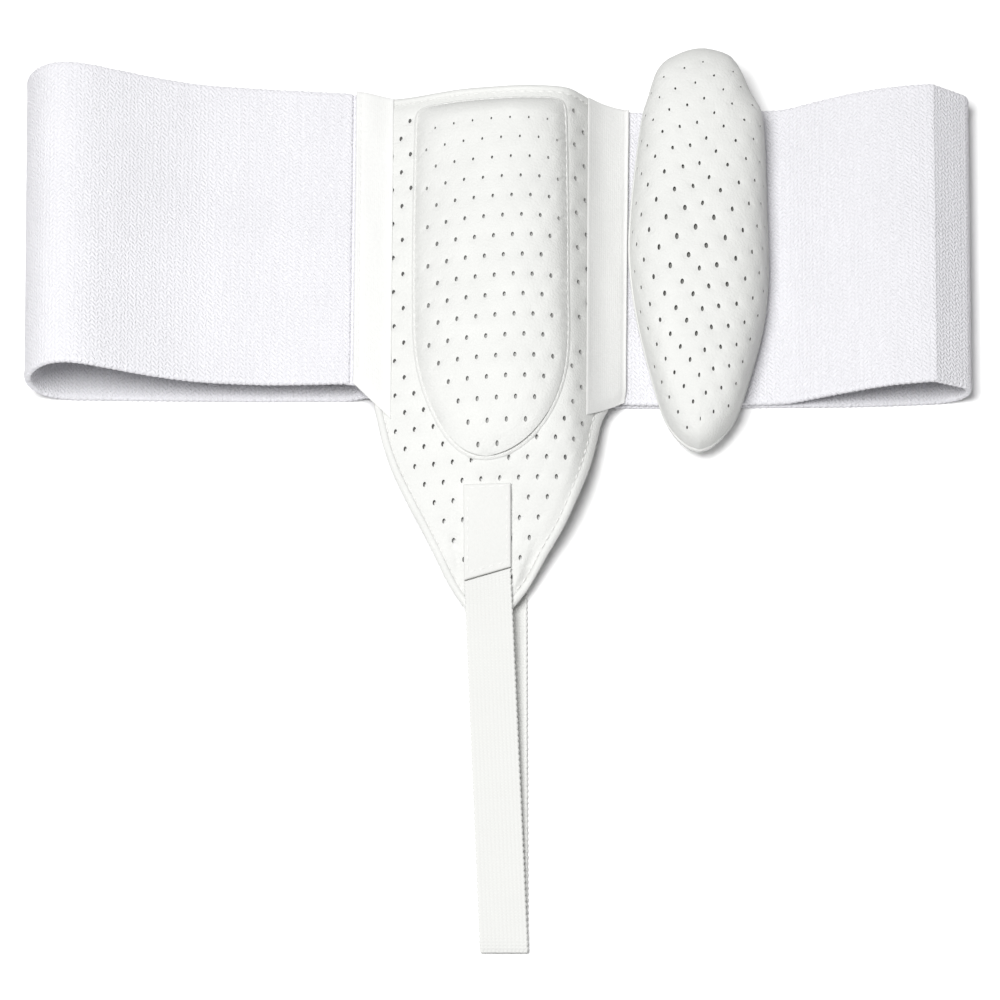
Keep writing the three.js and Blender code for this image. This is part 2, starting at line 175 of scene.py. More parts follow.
# (place across as a share of PANEL_LEFT or PANEL_RIGHT, lift from the flat
# stack to PANEL_CREST)
FRONT_ROWS = (
    (-1.02, 0.552), (-0.86, 0.525), (-0.74, 0.516), (-0.6, 0.596),
    (-0.44, 0.731), (-0.28, 0.852), (-0.1, 0.937), (0.08, 0.991),
    (0.27, 1), (0.44, 0.966), (0.54, 0.89), (0.62, 0.712), (0.7, 0.5),
    (0.8, 0.262), (0.91, 0.075), (1.0, 0.012), (1.11, 0),
)
# (share of the way to the fold, lift), first the front run and then the fold
LEFT_FRONT = (
    (0.12, 0.4), (0.25, 0.396), (0.35, 0.421), (0.453, 0.463), (0.54, 0.547),
    (0.636, 0.681), (0.732, 0.846), (0.811, 0.967), (0.872, 1),
)
LEFT_FOLD = (
    (0.929, 0.936), (0.969, 0.797), (0.994, 0.623), (1, 0.46), (0.989, 0.29),
    (0.959, 0.133), (0.911, 0.035), (0.846, 0), (0.7, 0), (0.35, 0),
)
RIGHT_FRONT = (
    (-0.6, 0), (-0.3, 0), (0, 0), (0.105, 0.06), (0.2, 0.25), (0.315, 0.48),
    (0.43, 0.675), (0.526, 0.812), (0.624, 0.913), (0.736, 0.98), (0.795, 1),
    (0.812, 1), (0.826, 0.96),
)
RIGHT_FOLD = (
    (0.89, 0.83), (0.952, 0.695), (0.984, 0.61), (1, 0.45), (0.993, 0.3),
    (0.961, 0.15), (0.901, 0.05), (0.806, 0), (0.4, 0), (-0.2, 0),
)
# (place across as a share of the reach, top edge, bottom edge)
EDGE_ROWS = (
    (-1, 1.055, -0.97), (-0.73, 1.038, -0.98), (-0.52, 1.02, -0.985),
    (-0.3, 0.985, -0.985), (-0.2, 0.962, -1), (0.28, 0.962, -1.03),
    (0.57, 0.975, -1.025), (0.75, 0.995, -1.02), (0.9, 1.005, -1.005),
    (1, 1, -0.99),
)
# (share of the skirt's drop, left edge, right edge)
SKIRT_ROWS = (
    (-0.04, 1, 1), (0.03, 1, 1), (0.08, 1.01, 0.975), (0.14, 0.985, 0.92),
    (0.25, 0.94, 0.872), (0.39, 0.854, 0.795), (0.54, 0.723, 0.673),
    (0.65, 0.619, 0.564), (0.76, 0.517, 0.426), (0.88, 0.41, 0.282),
    (0.94, 0.34, 0.2), (1, 0.262, 0.097),
)
# (share of the way down the pocket, left edge, right edge)
POCKET_ROWS = (
    (0, 0.98, 0.985), (0.3, 1, 1), (0.54, 1, 1), (0.69, 0.975, 1),
    (0.79, 0.885, 0.94), (0.885, 0.71, 0.765), (0.945, 0.54, 0.54),
    (0.975, 0.4, 0.36), (1, 0.2, 0.08),
)
# (place along the loose pad, left edge, right edge)
PAD_ROWS = (
    (-1, 0.08, 0.0), (-0.98, 0.2, 0.13), (-0.94, 0.34, 0.27),
    (-0.88, 0.47, 0.42), (-0.8, 0.57, 0.54), (-0.6, 0.73, 0.735),
    (-0.4, 0.865, 0.895), (-0.2, 0.96, 0.98), (0, 1, 1), (0.2, 0.97, 0.995),
    (0.45, 0.885, 0.99), (0.6, 0.82, 0.975), (0.7, 0.77, 0.94),
    (0.78, 0.69, 0.8), (0.85, 0.63, 0.71), (0.9, 0.56, 0.64),
    (0.94, 0.45, 0.56), (0.97, 0.27, 0.46), (1, 0.03, 0.2),
)
# (share of the strap's drop, lift of its middle layer as a share of TIP_HEIGHT)
STRAP_ROWS = (
    (0.06, 1.1), (0.16, 0.98), (0.34, 0.82), (0.58, 0.64), (0.8, 0.47),
    (0.92, 0.38), (0.975, 0.335), (1, 0.215),
)


# ---------------------------------------------------------------- the forms


def to_frame(point):
    return Vector(((point.x + STRAP_X) * MM, (point.y + BELT_Y) * MM, point.z * MM))


def lerp(start, end, share):
    return start + (end - start) * share


def clamp(value, low=0.0, high=1.0):
    return min(max(value, low), high)


def eased(share):
    """Share of the whole way, eased at both ends."""
    return (1 - math.cos(math.pi * clamp(share))) / 2


def bump(away, width):
    """1 at no distance, and less beyond it, as in a bell curve."""
    return math.exp(-((away / width) ** 2))


def along(rows, at, column=1):
    """A table's column at a place, as a smooth curve through its rows."""
    if at <= rows[0][0]:
        return rows[0][column]
    last = len(rows) - 1
    if at >= rows[last][0]:
        return rows[last][column]
    i = 0
    while rows[i + 1][0] < at:
        i += 1
    step = rows[i + 1][0] - rows[i][0]
    t = (at - rows[i][0]) / step

    def slope(a, b):
        return (rows[b][column] - rows[a][column]) / (rows[b][0] - rows[a][0])

    before = slope(max(i - 1, 0), min(i + 1, last)) * step
    after = slope(i, min(i + 2, last)) * step
    a, b = rows[i][column], rows[i + 1][column]
    return (
        (2 * a - 2 * b + before + after) * t**3
        + (3 * b - 3 * a - 2 * before - after) * t**2
        + before * t
        + a
    )


def smooth_line(points):
    """Points close together on a centripetal curve through the given ones."""
    points = [Vector(p) for p in points]
    ends = [2 * points[0] - points[1], *points, 2 * points[-1] - points[-2]]
    line = []
    for p0, p1, p2, p3 in zip(ends, ends[1:], ends[2:], ends[3:]):
        a, b, c = (math.sqrt(gap.length) for gap in (p1 - p0, p2 - p1, p3 - p2))
        out = ((p1 - p0) / a - (p2 - p0) / (a + b) + (p2 - p1) / b) * b
        into = ((p2 - p1) / b - (p3 - p1) / (b + c) + (p3 - p2) / c) * b
        for k in range(STEPS):
            t = k / STEPS
            line.append(
                p1
                + out * t
                + (3 * (p2 - p1) - 2 * out - into) * t**2
                + (2 * (p1 - p2) + out + into) * t**3
            )
    return line + [points[-1]]


class Route:
    """A line of points that is walked by length."""

    def __init__(self, points):
        self.points = points
        self.marks = [0.0]
        for a, b in zip(points, points[1:]):
            self.marks.append(self.marks[-1] + (b - a).length)
        self.length = self.marks[-1]

    def at(self, distance):
        """The point there, and its number among the points, with its share."""
        distance = clamp(distance, 0, self.length)
        i = clamp(bisect_right(self.marks, distance), 1, len(self.marks) - 1)
        gap = max(self.marks[i] - self.marks[i - 1], 1e-9)
        share = (distance - self.marks[i - 1]) / gap
        return self.points[i - 1].lerp(self.points[i], share), i - 1 + share


def belt_edge(x, column):
    """The belt's top edge (column 1) or bottom edge (column 2) there."""
    reach = LEFT_REACH if x < 0 else RIGHT_REACH
    return HALF_BELT * along(EDGE_ROWS, x / reach, column)


def front_top(x):
    out = x / (PANEL_LEFT if x < 0 else PANEL_RIGHT)
    return FLAT_STACK + (PANEL_CREST - FLAT_STACK) * along(FRONT_ROWS, out)


def panel_top(x, y):
    sunk = eased((-HALF_BELT - y) / (SKIRT_DROP * 1.08))
    return lerp(front_top(x), TIP_HEIGHT, sunk)


def strap_line(y):
    """Middle line of the strap's front run."""
    share = clamp((y - FOLD_Y) / STRAP_DROP, 0, 1.1)
    return STRAP_CENTRE - STRAP_LEAN * share


def elastic_form(side):
    """The outer face of one half of the waist elastic, and its length.

    Its cut's X runs towards +X on the front run and its Y up the belt.
    """
    left = side < 0
    if left:
        seam, start, front, fold = PANEL_LEFT, PANEL_LEFT, LEFT_FRONT, LEFT_FOLD
        reach, crest, lean = LEFT_REACH, LEFT_CREST, LEFT_LEAN
    else:
        seam, front, fold = PANEL_RIGHT, RIGHT_FRONT, RIGHT_FOLD
        start = PAD_CENTRE + PAD_WIDTH / 2
        reach, crest, lean = RIGHT_REACH, RIGHT_CREST, RIGHT_LEAN
    points = []
    for share in (0, 0.45, 0.9):
        x = seam - SEAM_LAP * (1 - share)
        points.append((x, front_top(side * x)))
    for out, lift in front:
        height = FLAT_STACK + (crest - FLAT_STACK) * lift
        points.append((start + (reach - start) * out, height))
    for out, lift in fold:
        points.append((start + (reach - start) * out, crest * lift))
    if left:
        edge = CLOSURE_LAP / 2 - CLOSURE_MIDDLE
        climb = ELASTIC_WALL + HOOK_WALL + 2 * CLEARANCE
        points += [
            (edge + 16, 0), (edge + 11, climb * 0.12), (edge + 5, climb * 0.88),
            (edge + 1, climb), (edge - CLOSURE_LAP / 2, climb),
            (edge - CLOSURE_LAP, climb),
        ]
    else:
        points += [(10, 0), (CLOSURE_MIDDLE - CLOSURE_LAP / 2, 0)]
    route = Route(smooth_line([(side * x, z) for x, z in points]))

    def form(s, t):
        (x, z), _ = route.at(route.length - s if left else s)
        z = max(z, 0)
        # Soft waves where the elastic lies free.
        free = clamp((z - 6) / 8)
        wave = noise.noise(Vector((s / WAVE_ALONG, t / WAVE_UP, side)))
        z += WAVE * free * wave
        # The seam holds it down along the side band.
        held = clamp((z - 5) / 4)
        z -= GROOVE * held * bump(side * x - seam - GROOVE_OUT, GROOVE_WIDTH)
        down = 1 - t / BELT_WIDTH
        y = lerp(belt_edge(x, 1), belt_edge(x, 2), down)
        beyond = clamp((side * x - seam) / (reach - seam))
        return Vector((x - side * lean * beyond * down, y, z))

    return form, route.length


def panel_form(x, y):
    """The top face of the front panel, with its cloth's small buckles."""
    z = panel_top(x, y)
    z += 0.35 * noise.noise(Vector((x / 17, y / 23, 3)))
    for x0, y0, x1, y1, deep, wide in BUCKLES:
        line = Vector((x1 - x0, y1 - y0))
        share = clamp((Vector((x - x0, y - y0)) @ line) / line.length_squared)
        away = math.hypot(x - x0 - share * line.x, y - y0 - share * line.y)
        z -= deep * math.sin(math.pi * clamp(0.12 + 0.8 * share)) * bump(away, wide)
    return Vector((x, y, z))


def panel_edges(y):
    """The front panel's left and right edges there."""
    share = (-HALF_BELT - y) / SKIRT_DROP
    return (
        -PANEL_EDGE_LEFT * along(SKIRT_ROWS, share, 1),
        PANEL_EDGE_RIGHT * along(SKIRT_ROWS, share, 2),
    )


def outline_between(edges, heights):
    """The outline of what has these two edges, anticlockwise."""
    left = [Vector((edges(y)[0], y)) for y in heights]
    right = [Vector((edges(y)[1], y)) for y in heights]
    return spaced(left + right[::-1], 1.6)


def panel_outline():
    top = belt_edge(0, 1)
    return outline_between(panel_edges, [lerp(top, TIP_Y, k / 60) for k in range(61)])


def pocket_edges(y):
    """The pocket's left and right edges there."""
    share = (pocket_top() - y) / (pocket_top() - POCKET_BOTTOM)
    centre = (POCKET_LEFT + POCKET_RIGHT) / 2
    half = (POCKET_RIGHT - POCKET_LEFT) / 2
    return (
        centre - half * along(POCKET_ROWS, share, 1),
        centre + half * along(POCKET_ROWS, share, 2),
    )


def pocket_top():
    return belt_edge(0, 1) - POCKET_INSET


def pocket_outline():
    shares = [math.sin(math.pi / 2 * k / 60) for k in range(61)]
    heights = [lerp(pocket_top(), POCKET_BOTTOM, share) for share in shares]
    return rounded(outline_between(pocket_edges, heights), 12)


def filled(x, y):
    """How far the pocket's filling stands up there, as a share."""
    left, right = pocket_edges(y)
    across = clamp((x - left - RIM_WIDTH) / (right - left - 2 * RIM_WIDTH))
    top, bottom = pocket_top() - RIM_WIDTH + 0.4, POCKET_BOTTOM + RIM_WIDTH
    down = clamp((top - y) / (top - bottom))
    sideways = 1 - abs(2 * across - 1) ** 2.6
    shoulder = math.sin(math.pi / 2 * clamp(down / 0.06)) ** 0.7
    return math.sqrt(max(0, sideways * (1 - down**4))) * shoulder


def pocket_form(x, y):
    point = panel_form(x, y)
    point.z += POCKET_LOW + (POCKET_RISE + POCKET_RIM - POCKET_LOW) * filled(x, y)
    point.z += 0.25 * noise.noise(Vector((x / 9, y / 12, 7)))
    return point


def pad_height(reach, end):
    """The loose pad's height as a share, from its middle (0) to its seam (1).
    end is 0 towards its sides and 1 towards its ends, which are blunter."""
    return max(0, 1 - reach ** lerp(3, 5, end)) ** lerp(0.45, 0.3, end)


def arc_of(half, end):
    """Length of a pad's cloth from its middle to its seam, and the places on
    the way, as shares, at even steps of that length."""
    places = [math.sin(math.pi / 2 * k / 400) for k in range(401)]
    heights = [PAD_FRONT * pad_height(place, end) for place in places]
    route = Route([Vector((half * p, h)) for p, h in zip(places, heights)])
    shares = [route.at(route.length * k / 200)[0].x / half for k in range(201)]
    return route.length, shares


PAD_ACROSS, SHARES_ACROSS = arc_of(PAD_WIDTH / 2, 0)
PAD_ALONG, SHARES_ALONG = arc_of(PAD_LENGTH / 2, 1)


def pad_seam(y):
    """Height of the loose pad's seam, which rises past the elastic's edge."""
    return PAD_SEAM + 3.5 * eased((y - 15) / 55)


def pad_rim(angle):
    """The loose pad's seam line, from the pad's middle."""
    up, across = math.sin(angle), math.cos(angle)
    left, right = -along(PAD_ROWS, up, 1), along(PAD_ROWS, up, 2)
    # The two sides run into one another at the pad's ends.
    x = lerp(left, right, eased(0.5 + across / 0.36))
    return Vector((x * PAD_WIDTH / 2, up * PAD_LENGTH / 2))


def pad_form(rise, bulge):
    """A half of the loose pad. Its cut is an ellipse of PAD_ACROSS by
    PAD_ALONG about the middle. rise is how far its middle stands from the
    seam, and bulge how full it is."""

    def form(fx, fy):
        p, q = fx / PAD_ACROSS, fy / PAD_ALONG
        radius = min(math.hypot(p, q), 1)
        angle = math.atan2(q, p)
        k = min(int(200 * radius), 199)
        share = 200 * radius - k
        reach = lerp(
            lerp(SHARES_ALONG[k], SHARES_ALONG[k + 1], share),
            lerp(SHARES_ACROSS[k], SHARES_ACROSS[k + 1], share),
            math.cos(angle) ** 2,
        )
        oval = Vector((math.cos(angle) * PAD_WIDTH, math.sin(angle) * PAD_LENGTH))
        edge = (oval / 2).lerp(pad_rim(angle), reach**3)
        place = edge * reach * (1 - 0.5 / edge.length)
        height = pad_height(reach, math.sin(angle) ** 2) ** bulge
        z = pad_seam(place.y - PAD_DROP) + math.copysign(0.3, rise) + rise * height
        # Small puckers that run out from the seam, and soft dents.
        turn = Vector((6 * math.cos(angle), 13 * math.sin(angle), rise))
        pucker = 0.9 * noise.noise(turn) * height * radius**5
        dent = 0.45 * noise.noise(Vector((fx / 14, fy / 21, rise))) * height
        z += math.copysign(pucker + dent, rise)
        return Vector((PAD_CENTRE + place.x, place.y - PAD_DROP, z))

    return form


def pad_outline():
    """The loose pad's seam, anticlockwise."""
    middle = Vector((PAD_CENTRE, -PAD_DROP))
    turns = [2 * math.pi * k / 360 for k in range(360)]
    return spaced([middle + pad_rim(turn) for turn in turns], 1.3)


def strap_form():
    """The middle layer of the groin strap, and its length."""
    middle = STRAP_WALL / 2
    seated = CLEARANCE + middle
    top = LAP_TOP + CLEARANCE + HOOK_WALL + seated
    points = []
    for share in (0, 0.5, 1):
        y = lerp(PATCH_BOTTOM - 2 * CLEARANCE, TIP_Y + 1, share)
        points.append((y, panel_top(strap_line(y), y) + seated))
    for down, lift in STRAP_ROWS:
        points.append((TIP_Y - STRAP_DROP * down, TIP_HEIGHT * lift))
    turn = len(points) - 1
    points += [
        (FOLD_Y + 3.5, middle), (FOLD_Y + 12, middle), (FOLD_Y + 60, middle),
        (-HALF_BELT - 24, middle), (-HALF_BELT - 17, middle * 1.4),
        (-HALF_BELT - 7, top * 0.93), (-HALF_BELT - 1, top),
        (STRAP_LAP / 2 - HALF_BELT, top), (STRAP_LAP - HALF_BELT, top),
    ]
    route = Route(smooth_line(points))

    def form(s, t):
        (y, z), number = route.at(s)
        number /= STEPS
        z = max(z, middle)
        y -= PATCH_SLANT * (1 - t / STRAP_WIDTH) * max(0, 1 - number / 2)
        front = 1 - eased((number - turn + 1) / 2)
        x = lerp(STRAP_CENTRE, strap_line(y), front) + t - STRAP_WIDTH / 2
        if number < 2:
            z = panel_top(x, y) + seated
        return Vector((x, y, z))

    return form, route.length


def spaced(outline, step):
    """A closed outline again, with corners about step apart."""
    route = Route([*outline, outline[0]])
    count = round(route.length / step)
    return [route.at(route.length * k / count)[0] for k in range(count)]


def rounded(outline, passes):
    """A closed outline with its corners eased."""
    count = len(outline)
    for _ in range(passes):
        outline = [
            (outline[k - 1] + 2 * outline[k] + outline[(k + 1) % count]) / 4
            for k in range(count)
        ]
    return outline


def inward(outline, k):
    """The direction into an anticlockwise outline at its k-th corner."""
    count = len(outline)
    way = outline[(k + 2) % count] - outline[(k - 2) % count]
    return Vector((-way.y, way.x)).normalized()


def inset(outline, distance):
    return [p + inward(outline, k) * distance for k, p in enumerate(outline)]


def hull_of(outline):
    """The sides of an outline's convex hull: a point and the way inwards."""
    corners = [outline[i] for i in convex_hull_2d(outline)]
    turn = sum(a.cross(b) for a, b in zip(corners, corners[1:] + corners[:1]))
    if turn < 0:
        corners.reverse()
    sides = []
    for a, b in zip(corners, corners[1:] + corners[:1]):
        if (b - a).length > 0.05:
            sides.append((a, Vector((a.y - b.y, b.x - a.x)).normalized()))
    return sides


def depth_in(sides, x, y):
    """How far a place is inside a hull."""
    return min((x - p.x) * n.x + (y - p.y) * n.y for p, n in sides)


# ------------------------------------------------------ cutting and sewing


def even(length, step):
    """Places from 0 to length, about step apart."""
    count = max(1, round(length / step))
    return [length * k / count for k in range(count + 1)]


def with_edges(length, step, fine, margin):
    """Places from 0 to length, fine in a margin at both ends."""
    near = even(margin, fine)
    middle = [margin + p for p in even(length - 2 * margin, step)]
    return near[:-1] + middle + [length - p for p in reversed(near[:-1])]


def cut_cloth(columns, rows):
    """A flat cut with lines of vertices at these places."""
    bm = bmesh.new()
    across, up = len(columns) - 1, len(rows) - 1
    bmesh.ops.create_grid(bm, x_segments=across, y_segments=up, size=0.5)
    for vertex in bm.verts:
        column = round((vertex.co.x + 0.5) * across)
        row = round((vertex.co.y + 0.5) * up)
        vertex.co = columns[column], rows[row], 0
    return bm


def cut_lattice(bounds, middle, step, slant, holes):
    """A flat cut of cells on a lattice. holes gives the size of a cell's hole
    as a share of the set one, or 0 for no hole. step and slant are the
    lattice's two ways, and middle is the middle of a cell."""
    sewing = bpy.context.scene.belt_sewing
    wide, long = sewing.hole_width / MM, sewing.hole_length / MM
    low, high = bounds
    reach = (high - low).length
    across = 2 * math.ceil(reach / step.length)
    up = 2 * math.ceil(reach / slant.length)
    bm = bmesh.new()
    bmesh.ops.create_grid(bm, x_segments=across, y_segments=up, size=0.5)
    origin = lattice_middle((low + high) / 2, middle, step, slant)
    corner = origin - (step + slant) / 2
    a, b = step * across, slant * up
    ways = (a.x, b.x, 0, corner.x), (a.y, b.y, 0, corner.y)
    matrix = Matrix((*ways, (0, 0, 1, 0), (0, 0, 0, 1)))
    bmesh.ops.transform(bm, verts=bm.verts, matrix=matrix)
    outside = [f for f in bm.faces if not touches(f, low, high)]
    bmesh.ops.delete(bm, geom=outside, context="FACES")
    mark = bm.faces.layers.int.new("hole")
    with_hole = [f for f in bm.faces if holes(*f.calc_center_median().xy) > 0]
    gap = min(step.length, slant.length) * CELL_FRAME
    rims = bmesh.ops.inset_individual(
        bm, faces=with_hole, thickness=gap, use_even_offset=True
    )["faces"]
    for face in with_hole:
        face[mark] = 1
    for face in rims:
        face[mark] = 0
    bmesh.ops.subdivide_edges(bm, edges=bm.edges, cuts=3, use_grid_fill=True)
    punched = [f for f in bm.faces if f[mark] == 1]
    for vertex in {v for f in punched for v in f.verts}:
        if all(f[mark] == 1 for f in vertex.link_faces):
            continue
        centre = lattice_middle(vertex.co.xy, middle, step, slant)
        way = vertex.co.xy - centre
        way = Vector((way.x / wide, way.y / long)).normalized()
        way *= holes(*centre) / 2
        vertex.co.xy = centre + Vector((way.x * wide, way.y * long))
    bmesh.ops.delete(bm, geom=punched, context="FACES")
    return bm


def lattice_middle(place, middle, step, slant):
    """The middle of the lattice's cell that is nearest to a place."""
    away = place - middle
    area = step.cross(slant)
    i, j = away.cross(slant) / area, step.cross(away) / area
    return middle + step * round(i) + slant * round(j)


def touches(face, low, high):
    centre = face.calc_center_median()
    return low.x <= centre.x <= high.x and low.y <= centre.y <= high.y


def dimpled(bm, middle, step, slant, holes):
    """Draws the upper face down a little towards each hole."""
    for vertex in bm.verts:
        if vertex.co.z > -0.1:
            centre = lattice_middle(vertex.co.xy, middle, step, slant)
            away = (vertex.co.xy - centre).length
            vertex.co.z -= DIMPLE * holes(*centre) * bump(away, 1.5)


def trim(bm, sides):
    """Cuts away what lies outside a hull."""
    for point, normal in sides:
        bmesh.ops.bisect_plane(
            bm, geom=[*bm.verts, *bm.edges, *bm.faces], clear_outer=True, dist=0.02,
            plane_co=(point.x, point.y, 0), plane_no=(-normal.x, -normal.y, 0),
        )


def thicken(bm, low, high):
    """Gives a flat cut its wall, from low to high, and its UV map in metres."""
    raised = bmesh.ops.extrude_face_region(bm, geom=bm.faces[:], use_keep_orig=True)
    upper = {v for v in raised["geom"] if isinstance(v, bmesh.types.BMVert)}
    for vertex in bm.verts:
        vertex.co.z = high if vertex in upper else low
    bmesh.ops.recalc_face_normals(bm, faces=bm.faces)
    cloth = bm.loops.layers.uv.new("Cloth")
    for face in bm.faces:
        for loop in face.loops:
            loop[cloth].uv = loop.vert.co.xy * MM


def is_wall(face):
    heights = [v.co.z for v in face.verts]
    return max(heights) - min(heights) > 1e-4


def bevel(bm, geom, radius, segments, affect):
    """Rounds edges or corners. Only edges are kept from running together."""
    bmesh.ops.bevel(
        bm, geom=geom, offset=radius, offset_type="OFFSET", segments=segments,
        profile=0.5, affect=affect, material=-1, clamp_overlap=affect == "EDGES",
    )


def round_rim(bm, radius, segments=2):
    """Rounds the edges between a cut's faces and its wall."""
    rim = [
        e
        for e in bm.edges
        if len(e.link_faces) == 2
        and abs(e.verts[0].co.z - e.verts[1].co.z) < 1e-4
        and is_wall(e.link_faces[0]) != is_wall(e.link_faces[1])
    ]
    bevel(bm, rim, radius, segments, "EDGES")


def line_holes(bm):
    """Marks the walls of the holes for the second material, which paints shade on them,
    but not the cut's outer wall.
    """
    walls = {f for f in bm.faces if is_wall(f)}
    while walls:
        todo, ring = [walls.pop()], []
        while todo:
            face = todo.pop()
            ring.append(face)
            for edge in face.edges:
                for other in edge.link_faces:
                    if other in walls:
                        walls.remove(other)
                        todo.append(other)
        if len(ring) < 60:
            for face in ring:
                face.material_index = 1


def press(bm, relief, threshold):
    """Moves the upper face of a cut up or down by relief(x, y)."""
    for vertex in bm.verts:
        if vertex.co.z > threshold:
            vertex.co.z += relief(vertex.co.x, vertex.co.y)


def lay(bm, form, step=LAY_STEP):
    """Lays a cut on a form: its Z is the distance from it."""
    places = {}
    for vertex in bm.verts:
        x, y, z = vertex.co
        key = round(x, 3), round(y, 3)
        if key not in places:
            across = form(x + step, y) - form(x - step, y)
            up = form(x, y + step) - form(x, y - step)
            places[key] = form(x, y), across.cross(up).normalized()
        point, normal = places[key]
        vertex.co = to_frame(point + normal * z)


def ring_of_cloth(outline, profile, form):
    """A closed tube along a closed outline. Each pair in profile is a distance
    inwards and a height above the form."""
    bm = bmesh.new()
    count, turns = len(outline), len(profile)
    bmesh.ops.create_grid(bm, x_segments=count, y_segments=turns, size=0.5)
    cloth = bm.loops.layers.uv.new("Cloth")
    route = Route([*outline, outline[0]])
    around = Route([Vector(p) for p in (*profile, profile[0])])
    for face in bm.faces:
        for loop in face.loops:
            column, row = grid_place(loop.vert, count, turns)
            loop[cloth].uv = (route.marks[column] * MM, around.marks[row] * MM)
    for vertex in bm.verts:
        column, row = grid_place(vertex, count, turns)
        column, row = column % count, row % turns
        distance, height = profile[row]
        place = outline[column] + inward(outline, column) * distance
        point = form(place.x, place.y)
        point.z += height
        vertex.co = to_frame(point)
    bmesh.ops.remove_doubles(bm, verts=bm.verts, dist=1e-7)
    return bm


def grid_place(vertex, columns, rows):
    return round((vertex.co.x + 0.5) * columns), round((vertex.co.y + 0.5) * rows)


def sew(bm, points):
    """Stitches of thread along a line of points."""
    sewing = bpy.context.scene.belt_sewing
    length, gap = sewing.stitch / MM, sewing.stitch_gap / MM
    radius = sewing.thread / MM / 2 * MM
    route = Route(points)
    pitch = length + gap
    for k in range(int(route.length // pitch)):
        start, _ = route.at(k * pitch + gap / 2)
        end, _ = route.at(k * pitch + gap / 2 + length)
        way = end - start
        if way.length < 0.2:
            continue
        place = Matrix.Translation(to_frame((start + end) / 2))
        turn = way.to_track_quat("X", "Z").to_matrix().to_4x4()
        size = Matrix.Diagonal((way.length / 2 * MM, radius, radius, 1))
        bmesh.ops.create_uvsphere(
            bm, u_segments=6, v_segments=5, radius=1, matrix=place @ turn @ size
        )


def finish_piece(name, bm, nodes, slot, *materials, sharp=SHARP):
    """Makes a piece of a bmesh, in its place."""
    bmesh.ops.recalc_face_normals(bm, faces=bm.faces)
    for face in bm.faces:
        face.smooth = True
    for edge in bm.edges:
        if len(edge.link_faces) == 2:
            edge.smooth = edge.calc_face_angle() < math.radians(sharp)
    mesh = bpy.data.meshes.new(name)
    bm.to_mesh(mesh)
    bm.free()
    for material in materials:
        mesh.materials.append(made_materials()[material])
    piece = bpy.data.objects.new(name, mesh)
    bpy.context.scene.collection.objects.link(piece)
    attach(piece, "root")
    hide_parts(*nodes)
    return piece


# ------------------------------------------------------------ the materials


class Cloth:
    """A cloth's material and the nodes that shape its colour and bump."""

    def __init__(self, name, colour, roughness, sheen=0.0):
        self.material = bpy.data.materials.new(name)
        self.material.use_nodes = True
        self.nodes = self.material.node_tree.nodes
        self.links = self.material.node_tree.links
        self.shader = self.nodes["Principled BSDF"]
        self.colour = tuple(colour[:3]) + (1.0,)
        for key, value in (
            ("Base Color", self.colour), ("Roughness", roughness),
            ("Specular IOR Level", DULL), ("Sheen Weight", sheen),
            ("Sheen Roughness", 0.6),
        ):
            self.shader.inputs[key].default_value = value

    def node(self, kind, inputs=(), **settings):
        made = self.nodes.new(kind)
        for key, value in settings.items():
            setattr(made, key, value)
        for key, value in dict(inputs).items():
            if isinstance(value, bpy.types.NodeSocket):
                self.links.new(value, made.inputs[key])
            else:
                made.inputs[key].default_value = value
        return made

    def sum(self, operation, *values):
        made = self.node("ShaderNodeMath", dict(enumerate(values)), operation=operation)
        return made.outputs[0]

    def times(self, value, factor, more=None):
        """value times factor, plus more."""
        if more is None:
            return self.sum("MULTIPLY", value, factor)
        return self.sum("MULTIPLY_ADD", value, factor, more)

    def place(self):
        """Object coordinates, in metres."""
        return self.node("ShaderNodeTexCoord").outputs["Object"]

    def cut_place(self):
        """The place on the flat cut, in metres along and across."""
        cut = self.node("ShaderNodeUVMap", uv_map="Cloth").outputs["UV"]
        parts = self.node("ShaderNodeSeparateXYZ", {"Vector": cut})
        return cut, parts.outputs["X"], parts.outputs["Y"]

    def mottle(self, place, scale, detail=2.0, roughness=0.5):
        made = self.node(
            "ShaderNodeTexNoise",
            {"Vector": place, "Scale": scale, "Detail": detail, "Roughness": roughness},
        )
        return made.outputs["Fac"]

    def wave(self, value, pitch, shift=0.0):
        """From 0 to 1 and back over each pitch of a length in metres."""
        turned = self.times(value, 2 * math.pi / pitch, shift)
        return self.times(self.sum("SINE", turned), 0.5, 0.5)

    def tint(self, factor, dark, light=1.0):
        """Colours the cloth from dark to light times its colour."""
        tones = [
            tuple(min(c * amount, 1) for c in self.colour[:3]) + (1,)
            for amount in (dark, light)
        ]
        mix = self.node(
            "ShaderNodeMix", {6: tones[0], 7: tones[1], 0: factor}, data_type="RGBA"
        )
        self.links.new(mix.outputs[2], self.shader.inputs["Base Color"])

    def emboss(self, height, depth, strength=1.0):
        sizes = {"Height": height, "Distance": depth, "Strength": strength}
        bumps = self.node("ShaderNodeBump", sizes)
        self.links.new(bumps.outputs["Normal"], self.shader.inputs["Normal"])


